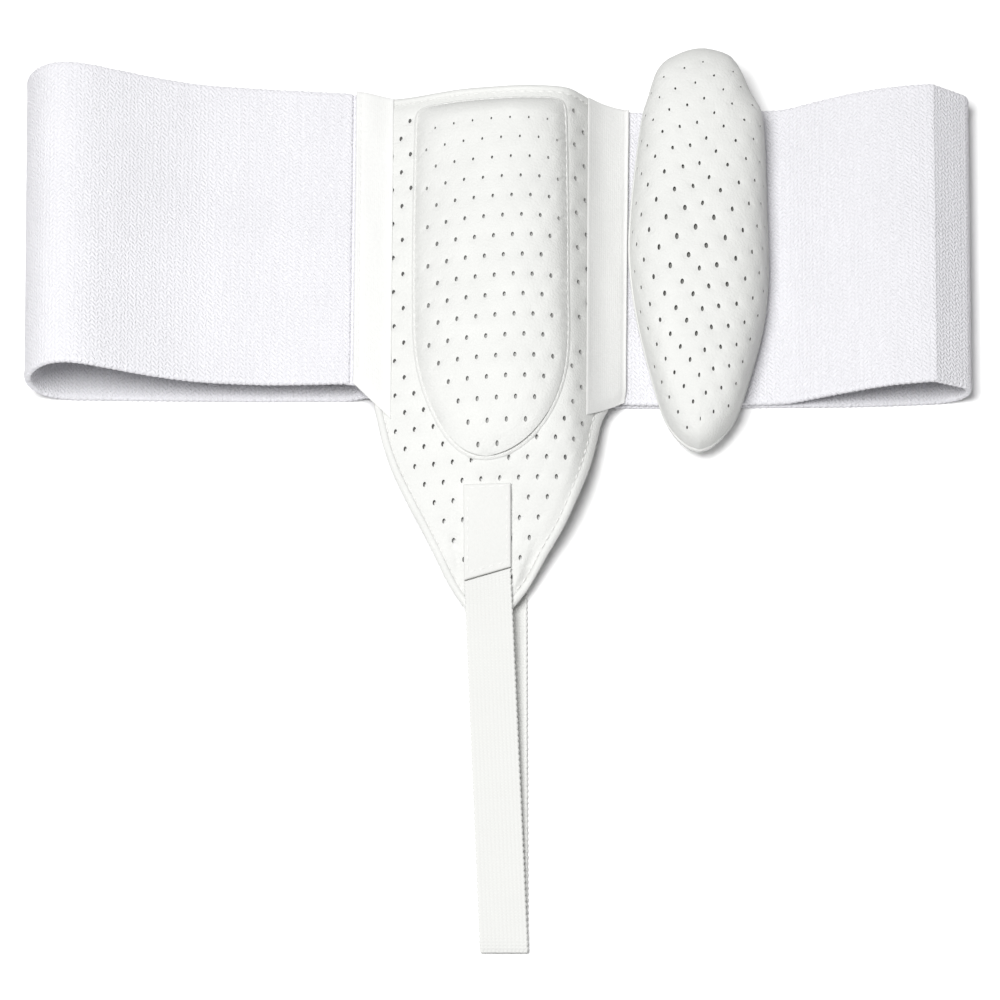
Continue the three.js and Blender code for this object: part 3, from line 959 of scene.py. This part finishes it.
def ribbed_elastic(name, colour):
    """Knitted elastic: fine ribs across the belt, each of slanting stitches,
    with a row of small loops along both selvedges."""
    rib = bpy.context.scene.belt_sewing.rib
    cloth = Cloth(name, colour, 0.92, 0.08)
    cut, s, t = cloth.cut_place()
    # The ribs wander a little, so that the knit isn't ruled.
    wander = cloth.mottle(cut, 420.0, 2.0)
    s = cloth.times(wander, rib * 1.6, s)
    ribs = cloth.wave(s, rib)
    number = cloth.sum("FLOOR", cloth.sum("DIVIDE", s, rib))
    side = cloth.times(cloth.sum("PINGPONG", number, 1.0), 2.0, -1.0)
    slant = cloth.times(cloth.times(s, side), 1.15, t)
    stitches = cloth.wave(slant, rib * 1.18)
    knit = cloth.times(stitches, 0.4, cloth.times(ribs, 0.25))
    fuzz = cloth.mottle(cut, 1500.0, 4.0, 0.75)
    height = cloth.times(fuzz, 1.1, knit)
    cloth.emboss(height, RIB_DEPTH, 0.7)
    streaked = cloth.node("ShaderNodeMapping", {"Vector": cut, "Scale": (1, 0.07, 1)})
    streaks = cloth.mottle(streaked.outputs["Vector"], 620.0, 2.0)
    broad = cloth.mottle(cut, 38.0, 3.0)
    tone = cloth.times(broad, 0.25, cloth.times(height, 0.45))
    tone = cloth.times(streaks, 0.25, tone)
    cloth.tint(tone, 0.82, 1.1)
    return cloth.material


def knitted_face(name, colour):
    """The smooth fine-meshed face of the perforated panel and pads."""
    cloth = Cloth(name, colour, 0.85, 0.05)
    place = cloth.place()
    fine = cloth.mottle(place, 1500.0, 2.0, 0.6)
    mesh = cloth.node("ShaderNodeTexVoronoi", {"Vector": place, "Scale": 1150.0})
    broad = cloth.mottle(place, 70.0, 3.0)
    height = cloth.times(mesh.outputs["Distance"], 0.6, fine)
    cloth.emboss(height, 0.00025, 0.55)
    cloth.tint(cloth.times(broad, 0.6, cloth.times(fine, 0.5)), 0.87, 1.04)
    return cloth.material


def hole_wall(name, colour):
    """Painted shade on the foam round a punched hole: a darkened colour that stands in
    for the shade inside it.
    """
    cloth = Cloth(name, colour, 1.0)
    grain = cloth.mottle(cloth.place(), 1600.0)
    cloth.tint(grain, 0.7, 1.1)
    cloth.emboss(grain, 0.0002, 0.5)
    return cloth.material


def brushed(name, colour):
    """The plain brushed cloth of the side bands and the strap's sewn end."""
    cloth = Cloth(name, colour, 0.88, 0.08)
    cut, s, t = cloth.cut_place()
    ribs = cloth.wave(s, 0.0007)
    nap = cloth.mottle(cut, 900.0, 4.0, 0.65)
    broad = cloth.mottle(cut, 60.0, 2.0)
    height = cloth.times(ribs, 0.12, nap)
    cloth.emboss(height, 0.0003, 0.5)
    cloth.tint(cloth.times(broad, 0.4, cloth.times(nap, 0.6)), 0.88, 1.04)
    return cloth.material


def woven_webbing(name, colour):
    """Flat elastic webbing: cross ribs, fine warp lines and a beaded edge."""
    cloth = Cloth(name, colour, 0.9, 0.05)
    cut, s, t = cloth.cut_place()
    picks = cloth.wave(s, 0.00105)
    warp = cloth.wave(t, 0.0013)
    weave = cloth.times(picks, warp)
    fuzz = cloth.mottle(cut, 1700.0, 2.0)
    height = cloth.times(fuzz, 0.5, weave)
    cloth.emboss(height, 0.00022, 0.6)
    broad = cloth.mottle(cut, 50.0, 2.0)
    cloth.tint(cloth.times(broad, 0.4, cloth.times(height, 0.45)), 0.93, 1.03)
    return cloth.material


def hook_rows(name, colour):
    """Rows of small hooks, as on the hooking half of a closure."""
    cloth = Cloth(name, colour, 0.6)
    cut, s, t = cloth.cut_place()
    across, down = cloth.wave(s, 0.0012), cloth.wave(t, 0.0016)
    hooks = cloth.sum("POWER", cloth.times(across, down), 1.5)
    cloth.emboss(hooks, 0.0008, 1.0)
    cloth.tint(hooks, 0.75, 1.05)
    return cloth.material


def sewing_thread(name, colour):
    """Twisted thread, a little lighter and darker along its ply."""
    cloth = Cloth(name, colour, 0.7, 0.1)
    cloth.tint(cloth.mottle(cloth.place(), 4000.0), 0.88, 1.03)
    return cloth.material


# ------------------------------------------------------ what a user changes


def colour_property(name, description, default):
    return bpy.props.FloatVectorProperty(
        name=name, description=description, default=default, subtype="COLOR",
        size=3, min=0, max=1,
    )


def number_property(name, description, default, **more):
    return bpy.props.FloatProperty(
        name=name, description=description, default=default, **more
    )


def length_property(name, description, default):
    return number_property(
        name, description, default, subtype="DISTANCE", unit="LENGTH", min=0,
        precision=5,
    )


class BELT_PG_cloths(bpy.types.PropertyGroup):
    """Colours of the belt's cloths"""

    elastic: colour_property("Elastic", "Knitted waist elastic", (0.795, 0.79, 0.823))
    panel: colour_property("Panel", "Panel, pocket and pad", (0.68, 0.684, 0.667))
    band: colour_property("Bands", "Side bands and lining", (0.745, 0.747, 0.735))
    strap: colour_property("Strap", "Groin strap", (0.675, 0.678, 0.661))
    hook: colour_property("Hook tape", "Hidden fastenings", (0.62, 0.62, 0.62))
    thread: colour_property("Thread", "Sewing thread", (0.76, 0.76, 0.745))
    # hole and deep_hole are painted shade: greys that stand in for the shade inside the
    # holes, the darker one for the pad's deeper holes.
    hole: colour_property("Holes", "Thin foam inside the holes", (0.42, 0.42, 0.41))
    deep_hole: colour_property("Deep holes", "Thick foam in the pad", (0.2, 0.2, 0.19))


class BELT_PG_sewing(bpy.types.PropertyGroup):
    """Sizes of the holes, stitches and knit"""

    hole_width: length_property("Hole width", "Across the belt", 0.0011)
    hole_length: length_property("Hole length", "Along the pad", 0.0018)
    hole_pitch: length_property("Hole pitch", "From one hole to the next", 0.00636)
    row_pitch: length_property("Row pitch", "From one row to the next", 0.00652)
    stitch: length_property("Stitch", "Length of one stitch", 0.0024)
    stitch_gap: length_property("Gap", "Between two stitches", 0.0009)
    thread: length_property("Thread", "Width of the thread", 0.00045)
    rib: length_property("Rib", "Pitch of the elastic's ribs", 0.0014)


class BELT_PG_stage(bpy.types.PropertyGroup):
    """The floor, the lights and the camera"""

    floor: colour_property("Floor", "Plain pale floor", (0.97, 0.97, 0.97))
    world: number_property("Sky", "Strength of the even light", 0.2, min=0)
    key: number_property("Key", "Large light's power", 22.5, min=0, unit="POWER")
    fill: number_property("Fill", "Opposite light's power", 0.8, min=0, unit="POWER")
    elevation: number_property(
        "Elevation", "Camera's angle above the floor", math.radians(68), subtype="ANGLE"
    )
    distance: length_property("Distance", "From the camera to the belt", 1.6)
    lens: number_property("Lens", "Focal length in millimetres", 169.41, min=1)


# (material, its recipe, its colour's property)
RECIPES = (
    ("ribbed_elastic", ribbed_elastic, "elastic"),
    ("knitted_face", knitted_face, "panel"),
    ("hole_wall", hole_wall, "hole"),
    ("deep_hole_wall", hole_wall, "deep_hole"),
    ("brushed_band", brushed, "band"),
    ("brushed_patch", brushed, "strap"),
    ("woven_webbing", woven_webbing, "strap"),
    ("hook_rows", hook_rows, "hook"),
    ("sewing_thread", sewing_thread, "thread"),
)


def made_materials():
    """The belt's materials by name, made once."""
    cloths = bpy.context.scene.belt_cloths
    return {
        name: bpy.data.materials.get(name) or recipe(name, getattr(cloths, colour))
        for name, recipe, colour in RECIPES
    }


# --------------------------------------------------------------- the pieces


def lattice_of(middle, across, rise, shift, up):
    """The middle of a hole, the way to the next hole and the way to the next
    row. across and shift are shares of the hole pitch, up of the row pitch."""
    sewing = bpy.context.scene.belt_sewing
    hole, row = sewing.hole_pitch / MM, sewing.row_pitch / MM
    next_row = Vector((hole * shift, row * up))
    return Vector(middle), Vector((hole * across, rise)), next_row


def perforated_cut(bounds, lattice, sides, wall):
    """A cut with holes. lattice is what cut_lattice takes after the bounds."""
    bm = cut_lattice(bounds, *lattice)
    trim(bm, sides)
    thicken(bm, -wall, 0)
    line_holes(bm)
    dimpled(bm, *lattice)
    return bm


def plain_cut(bounds, across, up, sides, low, high):
    """A cut without holes that fills the same bounds."""
    start, end = bounds
    bm = cut_cloth(even(end.x - start.x, across), even(end.y - start.y, up))
    bmesh.ops.translate(bm, verts=bm.verts, vec=(start.x, start.y, 0))
    trim(bm, sides)
    thicken(bm, low, high)
    return bm


def stitches(name, lines, nodes, slot):
    """A piece of stitches along these lines of points."""
    bm = bmesh.new()
    for line in lines:
        sew(bm, line)
    return finish_piece(name, bm, nodes, slot, "sewing_thread", sharp=UNBROKEN)


def stitches_round(name, outline, rise, nodes):
    """Stitches round an outline on the front panel, at a height above it."""
    up = Vector((0, 0, rise))
    line = [panel_form(*place) + up for place in [*outline, outline[0]]]
    return stitches(name, [line], nodes, "panel_cloth")


def selvedge(s, t):
    """Relief of a row of small loops along both edges of the elastic."""
    from_edge = min(t, BELT_WIDTH - t)
    bead = 0.5 + 0.5 * math.cos(2 * math.pi * s / SELVEDGE_PITCH)
    row = bump(from_edge - 1.7, 0.55)
    return min(0.28 * bead * row - 0.12 * bump(from_edge, 0.8), 0.25)


def scalloped(form, width, depth):
    """A form whose two long edges run in small scallops."""

    def edged(s, t):
        near = math.exp(-min(t, width - t) / 0.8)
        swing = depth * near * math.cos(2 * math.pi * s / SELVEDGE_PITCH)
        return form(s, t + (swing if t > width / 2 else -swing))

    return edged


class BELT_OT_waist_elastics(bpy.types.Operator):
    """Knit both halves of the waist elastic and lay them round their folds"""

    bl_idname = "belt.lay_waist_elastics"
    bl_label = "Waist elastics"

    def execute(self, context):
        for side, name in ((-1, "waist_elastic_left"), (1, "waist_elastic_right")):
            form, length = elastic_form(side)
            rows = with_edges(BELT_WIDTH, 4.5, 0.7, 3.5)
            bm = cut_cloth(even(length, SELVEDGE_PITCH / 4), rows)
            thicken(bm, -ELASTIC_WALL, 0)
            round_rim(bm, 0.6)
            for vertex in bm.verts:
                up = 1 if vertex.co.z > -ELASTIC_WALL / 2 else -1
                vertex.co.z += up * selvedge(vertex.co.x, vertex.co.y)
            lay(bm, scalloped(form, BELT_WIDTH, 0.15))
            piece = finish_piece(
                name + "_knit", bm, [name], "elastic", "ribbed_elastic"
            )
        return {"FINISHED"}


class BELT_OT_front_panel(bpy.types.Operator):
    """Cut the perforated front panel and sew it to its lining with a hem"""

    bl_idname = "belt.sew_front_panel"
    bl_label = "Front panel"

    def execute(self, context):
        nodes, slot = ["front_panel"], "panel_cloth"
        outline = panel_outline()
        hull = hull_of(outline)
        seam = hull_of(inset(outline, HEM_WIDTH - 0.3))
        pocket = hull_of(pocket_outline())
        bounds = (
            Vector((-PANEL_EDGE_LEFT - WASTE, TIP_Y - WASTE)),
            Vector((PANEL_EDGE_RIGHT + WASTE, belt_edge(0, 1) + WASTE)),
        )

        def punched(x, y):
            if depth_in(hull, x, y) < PANEL_MARGIN:
                return 0
            if depth_in(pocket, x, y) > POCKET_COVER:
                return 0
            under_patch = abs(x - strap_line(y)) < PATCH_COVER and y < PATCH_TOP - 1
            return 1 if HOLES_LEFT < x < HOLES_RIGHT and not under_patch else 0

        def pinched(x, y):
            away = depth_in(hull, x, y) - HEM_WIDTH
            return -0.75 * bump(max(away, 0), 1.5)

        lattice = *lattice_of(*PANEL_LATTICE), punched
        bm = perforated_cut(bounds, lattice, seam, SHEET_WALL)
        press(bm, pinched, -0.7)
        lay(bm, panel_form)
        sheet = finish_piece(
            "front_panel_sheet", bm, nodes, slot, "knitted_face", "hole_wall"
        )
        bm = plain_cut(bounds, 3, 3, seam, -PANEL_WALL, -SHEET_WALL - 0.2)
        lay(bm, panel_form)
        lining = finish_piece("front_panel_lining", bm, nodes, slot, "brushed_band")
        bm = ring_of_cloth(outline, HEM_SECTION, panel_form)
        hem = finish_piece(
            "front_panel_hem", bm, nodes, slot, "knitted_face", sharp=BOUND
        )
        line = inset(outline, HEM_WIDTH + 0.2)
        stitching = stitches_round("front_panel_stitches", line, -HEM_STITCH, nodes)
        return {"FINISHED"}


class BELT_OT_side_bands(bpy.types.Operator):
    """Sew the smooth bands over the seams beside the front panel"""

    bl_idname = "belt.sew_side_bands"
    bl_label = "Side bands"

    def execute(self, context):
        for name, side, outer, width, slanted, taper, sunk in BANDS:
            left = side < 0
            inner = outer - side * width
            top, bottom = belt_edge(outer, 1), belt_edge(outer, 2)
            crown = lerp(belt_edge(inner, 1), top, 0.25) - sunk
            length = top - bottom + slanted / 2
            seam = 1.7 if left else width - 1.7

            def form(s, t):
                share = s / width if left else 1 - s / width
                down = 1 - t / length
                y = lerp(lerp(top, crown, share), bottom - slanted * share, down)
                x = lerp(outer - taper * down, inner - taper * down * 0.6, share)
                point = panel_form(x, y)
                point.z += 0.18 * noise.noise(Vector((x / 6, y / 19, side)))
                return point

            bm = cut_cloth(even(width, 0.75), even(length, 1.6))
            thicken(bm, CLEARANCE, CLEARANCE + BAND_WALL)
            round_rim(bm, 0.6)
            middle = CLEARANCE + BAND_WALL / 2
            press(bm, lambda s, t: -0.3 * bump(s - seam, 0.5), middle)
            # Its inner side and its lower end are pressed onto the panel.
            for vertex in bm.verts:
                s = vertex.co.x if not left else width - vertex.co.x
                loose = eased(s / (width * 0.8)) * eased(vertex.co.y / 5)
                above = (vertex.co.z - CLEARANCE) * lerp(0.3, 1, loose)
                vertex.co.z = lerp(0.05, CLEARANCE, loose) + above
            lay(bm, form)
            band = finish_piece(
                name + "_cloth", bm, [name], "band_cloth", "brushed_band"
            )
            up = Vector((0, 0, CLEARANCE + BAND_WALL - 0.3))
            line = [form(seam, t + 5) + up for t in even(length - 7, 1.5)]
            stitching = stitches(name + "_stitches", [line], [name], "band_cloth")
        return {"FINISHED"}


class BELT_OT_pocket(bpy.types.Operator):
    """Fill the rounded pocket and sew its rim to the front panel"""

    bl_idname = "belt.fill_pocket"
    bl_label = "Pocket"

    def execute(self, context):
        nodes, slot = ["pocket_pad"], "panel_cloth"
        outline = pocket_outline()
        hull = hull_of(outline)
        bounds = (
            Vector((POCKET_LEFT - WASTE, POCKET_BOTTOM - WASTE)),
            Vector((POCKET_RIGHT + WASTE, pocket_top() + WASTE)),
        )

        def punched(x, y):
            if depth_in(hull, x, y) < POCKET_MARGIN or y > POCKET_HOLES_TOP:
                return 0
            return lerp(1, 0.5, clamp((y + 10) / 52))

        lattice = *lattice_of(*POCKET_LATTICE), punched
        rim = hull_of(inset(outline, RIM_WIDTH - 0.4))
        bm = perforated_cut(bounds, lattice, rim, POCKET_CLOTH)
        lay(bm, pocket_form, PAD_STEP)
        cloth = finish_piece(
            "pocket_cloth", bm, nodes, slot, "knitted_face", "hole_wall"
        )
        # A dark sheet under the pocket's cloth, in the hole material: painted shade
        # that shows through the holes.
        bm = plain_cut(
            bounds, 2, 2, hull_of(inset(outline, RIM_WIDTH + 1.2)),
            -POCKET_CLOTH - 0.8, -POCKET_CLOTH - 0.1,
        )
        lay(bm, pocket_form, PAD_STEP)
        finish_piece("pocket_filling", bm, nodes, slot, "hole_wall")
        bm = ring_of_cloth(outline, RIM_SECTION, panel_form)
        finish_piece("pocket_rim", bm, nodes, slot, "knitted_face", sharp=BOUND)
        line = inset(outline, RIM_STITCH_IN)
        stitches_round("pocket_stitches", line, RIM_STITCH_UP, nodes)
        return {"FINISHED"}


class BELT_OT_loose_pad(bpy.types.Operator):
    """Fill the loose pad that lies on the right half of the elastic"""

    bl_idname = "belt.fill_loose_pad"
    bl_label = "Loose pad"

    def execute(self, context):
        nodes, slot = ["loose_pad_front"], "panel_cloth"
        reach = Vector((PAD_ACROSS + 4, PAD_ALONG + 4))
        bounds = -reach, reach
        rim = [
            Vector((PAD_ACROSS * math.cos(a), PAD_ALONG * math.sin(a)))
            for a in (2 * math.pi * k / 90 for k in range(90))
        ]
        sides = hull_of(rim)

        def punched(x, y):
            radius = math.hypot(x / PAD_ACROSS, y / PAD_ALONG)
            if radius > 0.88 or y > PAD_ALONG * 0.8:
                return 0
            # The widest holes are a little left of and below the middle.
            off = math.hypot((x + 3) / PAD_ACROSS, (y + 16) / PAD_ALONG)
            return lerp(1.15, 0.5, clamp((off - 0.25) / 0.75))

        lattice = *(Vector(place) for place in PAD_LATTICE), punched
        front = pad_form(PAD_FRONT - 0.4, 1.0)
        bm = perforated_cut(bounds, lattice, sides, 1.5)
        lay(bm, front, PAD_STEP)
        cloth = finish_piece(
            "loose_pad_cloth", bm, nodes, slot, "knitted_face", "deep_hole_wall"
        )
        # A dark sheet under the pad's cloth, in the deep hole material: painted shade,
        # darker still, that shows through the deep holes.
        bm = plain_cut(bounds, 2.5, 3.5, hull_of(inset(rim, 1.5)), -2.6, -1.7)
        lay(bm, front, PAD_STEP)
        finish_piece("loose_pad_filling", bm, nodes, slot, "deep_hole_wall")
        bm = plain_cut(bounds, 2, 2.5, sides, 0, 1.2)
        lay(bm, pad_form(-PAD_BACK + 0.3, 0.55), PAD_STEP)
        back = finish_piece(
            "loose_pad_lining", bm, ["loose_pad_back"], "band_cloth", "brushed_band"
        )
        bm = ring_of_cloth(
            pad_outline(), PAD_SECTION, lambda x, y: Vector((x, y, pad_seam(y)))
        )
        finish_piece("loose_pad_seam", bm, nodes, slot, "knitted_face", sharp=BOUND)
        return {"FINISHED"}


class BELT_OT_groin_strap(bpy.types.Operator):
    """Weave the groin strap, fold it, and sew its end to the front panel"""

    bl_idname = "belt.fold_groin_strap"
    bl_label = "Groin strap"

    def execute(self, context):
        length = PATCH_TOP - PATCH_BOTTOM

        def patch_form(s, t):
            down = 1 - t / length
            foot = PATCH_BOTTOM - PATCH_SLANT * (1 - s / STRAP_WIDTH)
            y = lerp(PATCH_TOP, foot, down)
            x = strap_line(y) + s - STRAP_WIDTH / 2
            return Vector((x, y, panel_top(x, y)))

        nodes, slot = ["strap_patch"], "strap_webbing"
        bm = cut_cloth(even(STRAP_WIDTH, 0.8), even(length, 0.8))
        thicken(bm, CLEARANCE, CLEARANCE + STRAP_WALL)
        round_rim(bm, 0.55)
        lay(bm, patch_form)
        patch = finish_piece("strap_patch_cloth", bm, nodes, slot, "brushed_patch")
        up = Vector((0, 0, CLEARANCE + STRAP_WALL + 0.02))
        lines = [
            [patch_form(s + 1.2, t) + up for s in even(STRAP_WIDTH - 2.4, 0.6)]
            for t in (1.6, length - 1.4)
        ] + [
            [patch_form(s, t + 1.6) + up for t in even(length - 3, 0.6)]
            for s in (PATCH_SEAM, STRAP_WIDTH - PATCH_SEAM)
        ]
        stitching = stitches("strap_patch_stitches", lines, nodes, slot)

        form, length = strap_form()
        rows = with_edges(STRAP_WIDTH, 2.0, 0.7, 2.1)
        bm = cut_cloth(even(length, SELVEDGE_PITCH / 4), rows)
        thicken(bm, -STRAP_WALL / 2, STRAP_WALL / 2)
        round_rim(bm, 0.45)
        lay(bm, scalloped(form, STRAP_WIDTH, 0.17))
        strap = finish_piece(
            "groin_strap_webbing", bm, ["groin_strap"], slot, "woven_webbing"
        )
        return {"FINISHED"}


class BELT_OT_hook_patches(bpy.types.Operator):
    """Set the hidden hook patches of both closures"""

    bl_idname = "belt.set_hook_patches"
    bl_label = "Hook patches"

    def execute(self, context):
        for name, width, length, *middle, low in HOOK_PATCHES:
            bm = cut_cloth(even(width, 2), even(length, 2))
            corners = [v for v in bm.verts if len(v.link_faces) == 1]
            bevel(bm, corners, 1.8, 3, "VERTICES")
            thicken(bm, 0, HOOK_WALL)
            round_rim(bm, 0.25, 1)
            shift = Vector((middle[0] - width / 2, middle[1] - length / 2, low))
            lay(bm, lambda s, t: shift + Vector((s, t, 0)))
            piece = finish_piece(name + "_tape", bm, [name], "hook_tape", "hook_rows")
        return {"FINISHED"}


def placed(name, data, place, way):
    """A light or camera there that looks that way."""
    made = bpy.data.objects.new(name, data)
    made.location = place
    made.rotation_euler = way.to_track_quat("-Z", "Y").to_euler()
    bpy.context.scene.collection.objects.link(made)
    return made


class BELT_OT_stage(bpy.types.Operator):
    """Set the pale floor, the soft lights and the camera"""

    bl_idname = "belt.set_stage"
    bl_label = "Stage"

    def execute(self, context):
        scene, stage = context.scene, context.scene.belt_stage
        bm = bmesh.new()
        bmesh.ops.create_grid(bm, x_segments=8, y_segments=8, size=4)
        mesh = bpy.data.meshes.new("floor")
        bm.to_mesh(mesh)
        bm.free()
        cloth = Cloth("pale_floor", stage.floor, 0.95)
        cloth.tint(cloth.mottle(cloth.place(), 6.0), 0.995, 1.005)
        mesh.materials.append(cloth.material)
        floor = bpy.data.objects.new("floor", mesh)
        scene.collection.objects.link(floor)

        world = bpy.data.worlds.new("even_light")
        world.use_nodes = True
        background = world.node_tree.nodes["Background"]
        background.inputs["Color"].default_value = (1, 1, 1, 1)
        background.inputs["Strength"].default_value = stage.world
        scene.world = world
        for name, power, place, size in (
            ("key", stage.key, KEY_PLACE, KEY_SIZE),
            ("fill", stage.fill, FILL_PLACE, FILL_SIZE),
        ):
            light = bpy.data.lights.new(name, "AREA")
            light.shape = "DISK"
            light.size = size
            light.energy = power
            lamp = placed(name, light, place, LIT_PLACE - Vector(place))
            lamp.visible_camera = False

        camera = bpy.data.cameras.new("camera")
        camera.lens = stage.lens
        camera.sensor_width = 36
        camera.clip_start, camera.clip_end = 0.05, 20
        back = Vector((0, -math.cos(stage.elevation), math.sin(stage.elevation)))
        place = SEEN_PLACE + back * stage.distance
        scene.camera = placed("camera", camera, place, -back)
        scene.view_settings.view_transform = "Standard"
        return {"FINISHED"}


OPERATORS = (
    BELT_OT_stage,
    BELT_OT_waist_elastics,
    BELT_OT_hook_patches,
    BELT_OT_front_panel,
    BELT_OT_side_bands,
    BELT_OT_pocket,
    BELT_OT_loose_pad,
    BELT_OT_groin_strap,
)


class BELT_PT_panel(bpy.types.Panel):
    """The belt's sizes, colours and pieces"""

    bl_idname = "BELT_PT_panel"
    bl_label = "Hernia belt"
    bl_space_type = "VIEW_3D"
    bl_region_type = "UI"
    bl_category = "Belt"

    def draw(self, context):
        for group in GROUPS:
            settings = getattr(context.scene, GROUPS[group])
            box = self.layout.box()
            for key in settings.__annotations__:
                box.prop(settings, key)
        for operator in OPERATORS:
            self.layout.operator(operator.bl_idname)


GROUPS = {
    BELT_PG_cloths: "belt_cloths",
    BELT_PG_sewing: "belt_sewing",
    BELT_PG_stage: "belt_stage",
}


def register():
    for group, name in GROUPS.items():
        bpy.utils.register_class(group)
        setattr(bpy.types.Scene, name, bpy.props.PointerProperty(type=group))
    for part in (*OPERATORS, BELT_PT_panel):
        bpy.utils.register_class(part)


def unregister():
    for part in (BELT_PT_panel, *reversed(OPERATORS)):
        bpy.utils.unregister_class(part)
    for group, name in reversed(GROUPS.items()):
        delattr(bpy.types.Scene, name)
        bpy.utils.unregister_class(group)


def main():
    register()
    for operator in OPERATORS:
        call = bpy.ops
        for part in operator.bl_idname.split("."):
            call = getattr(call, part)
        call()


if __name__ == "__main__":
    main()
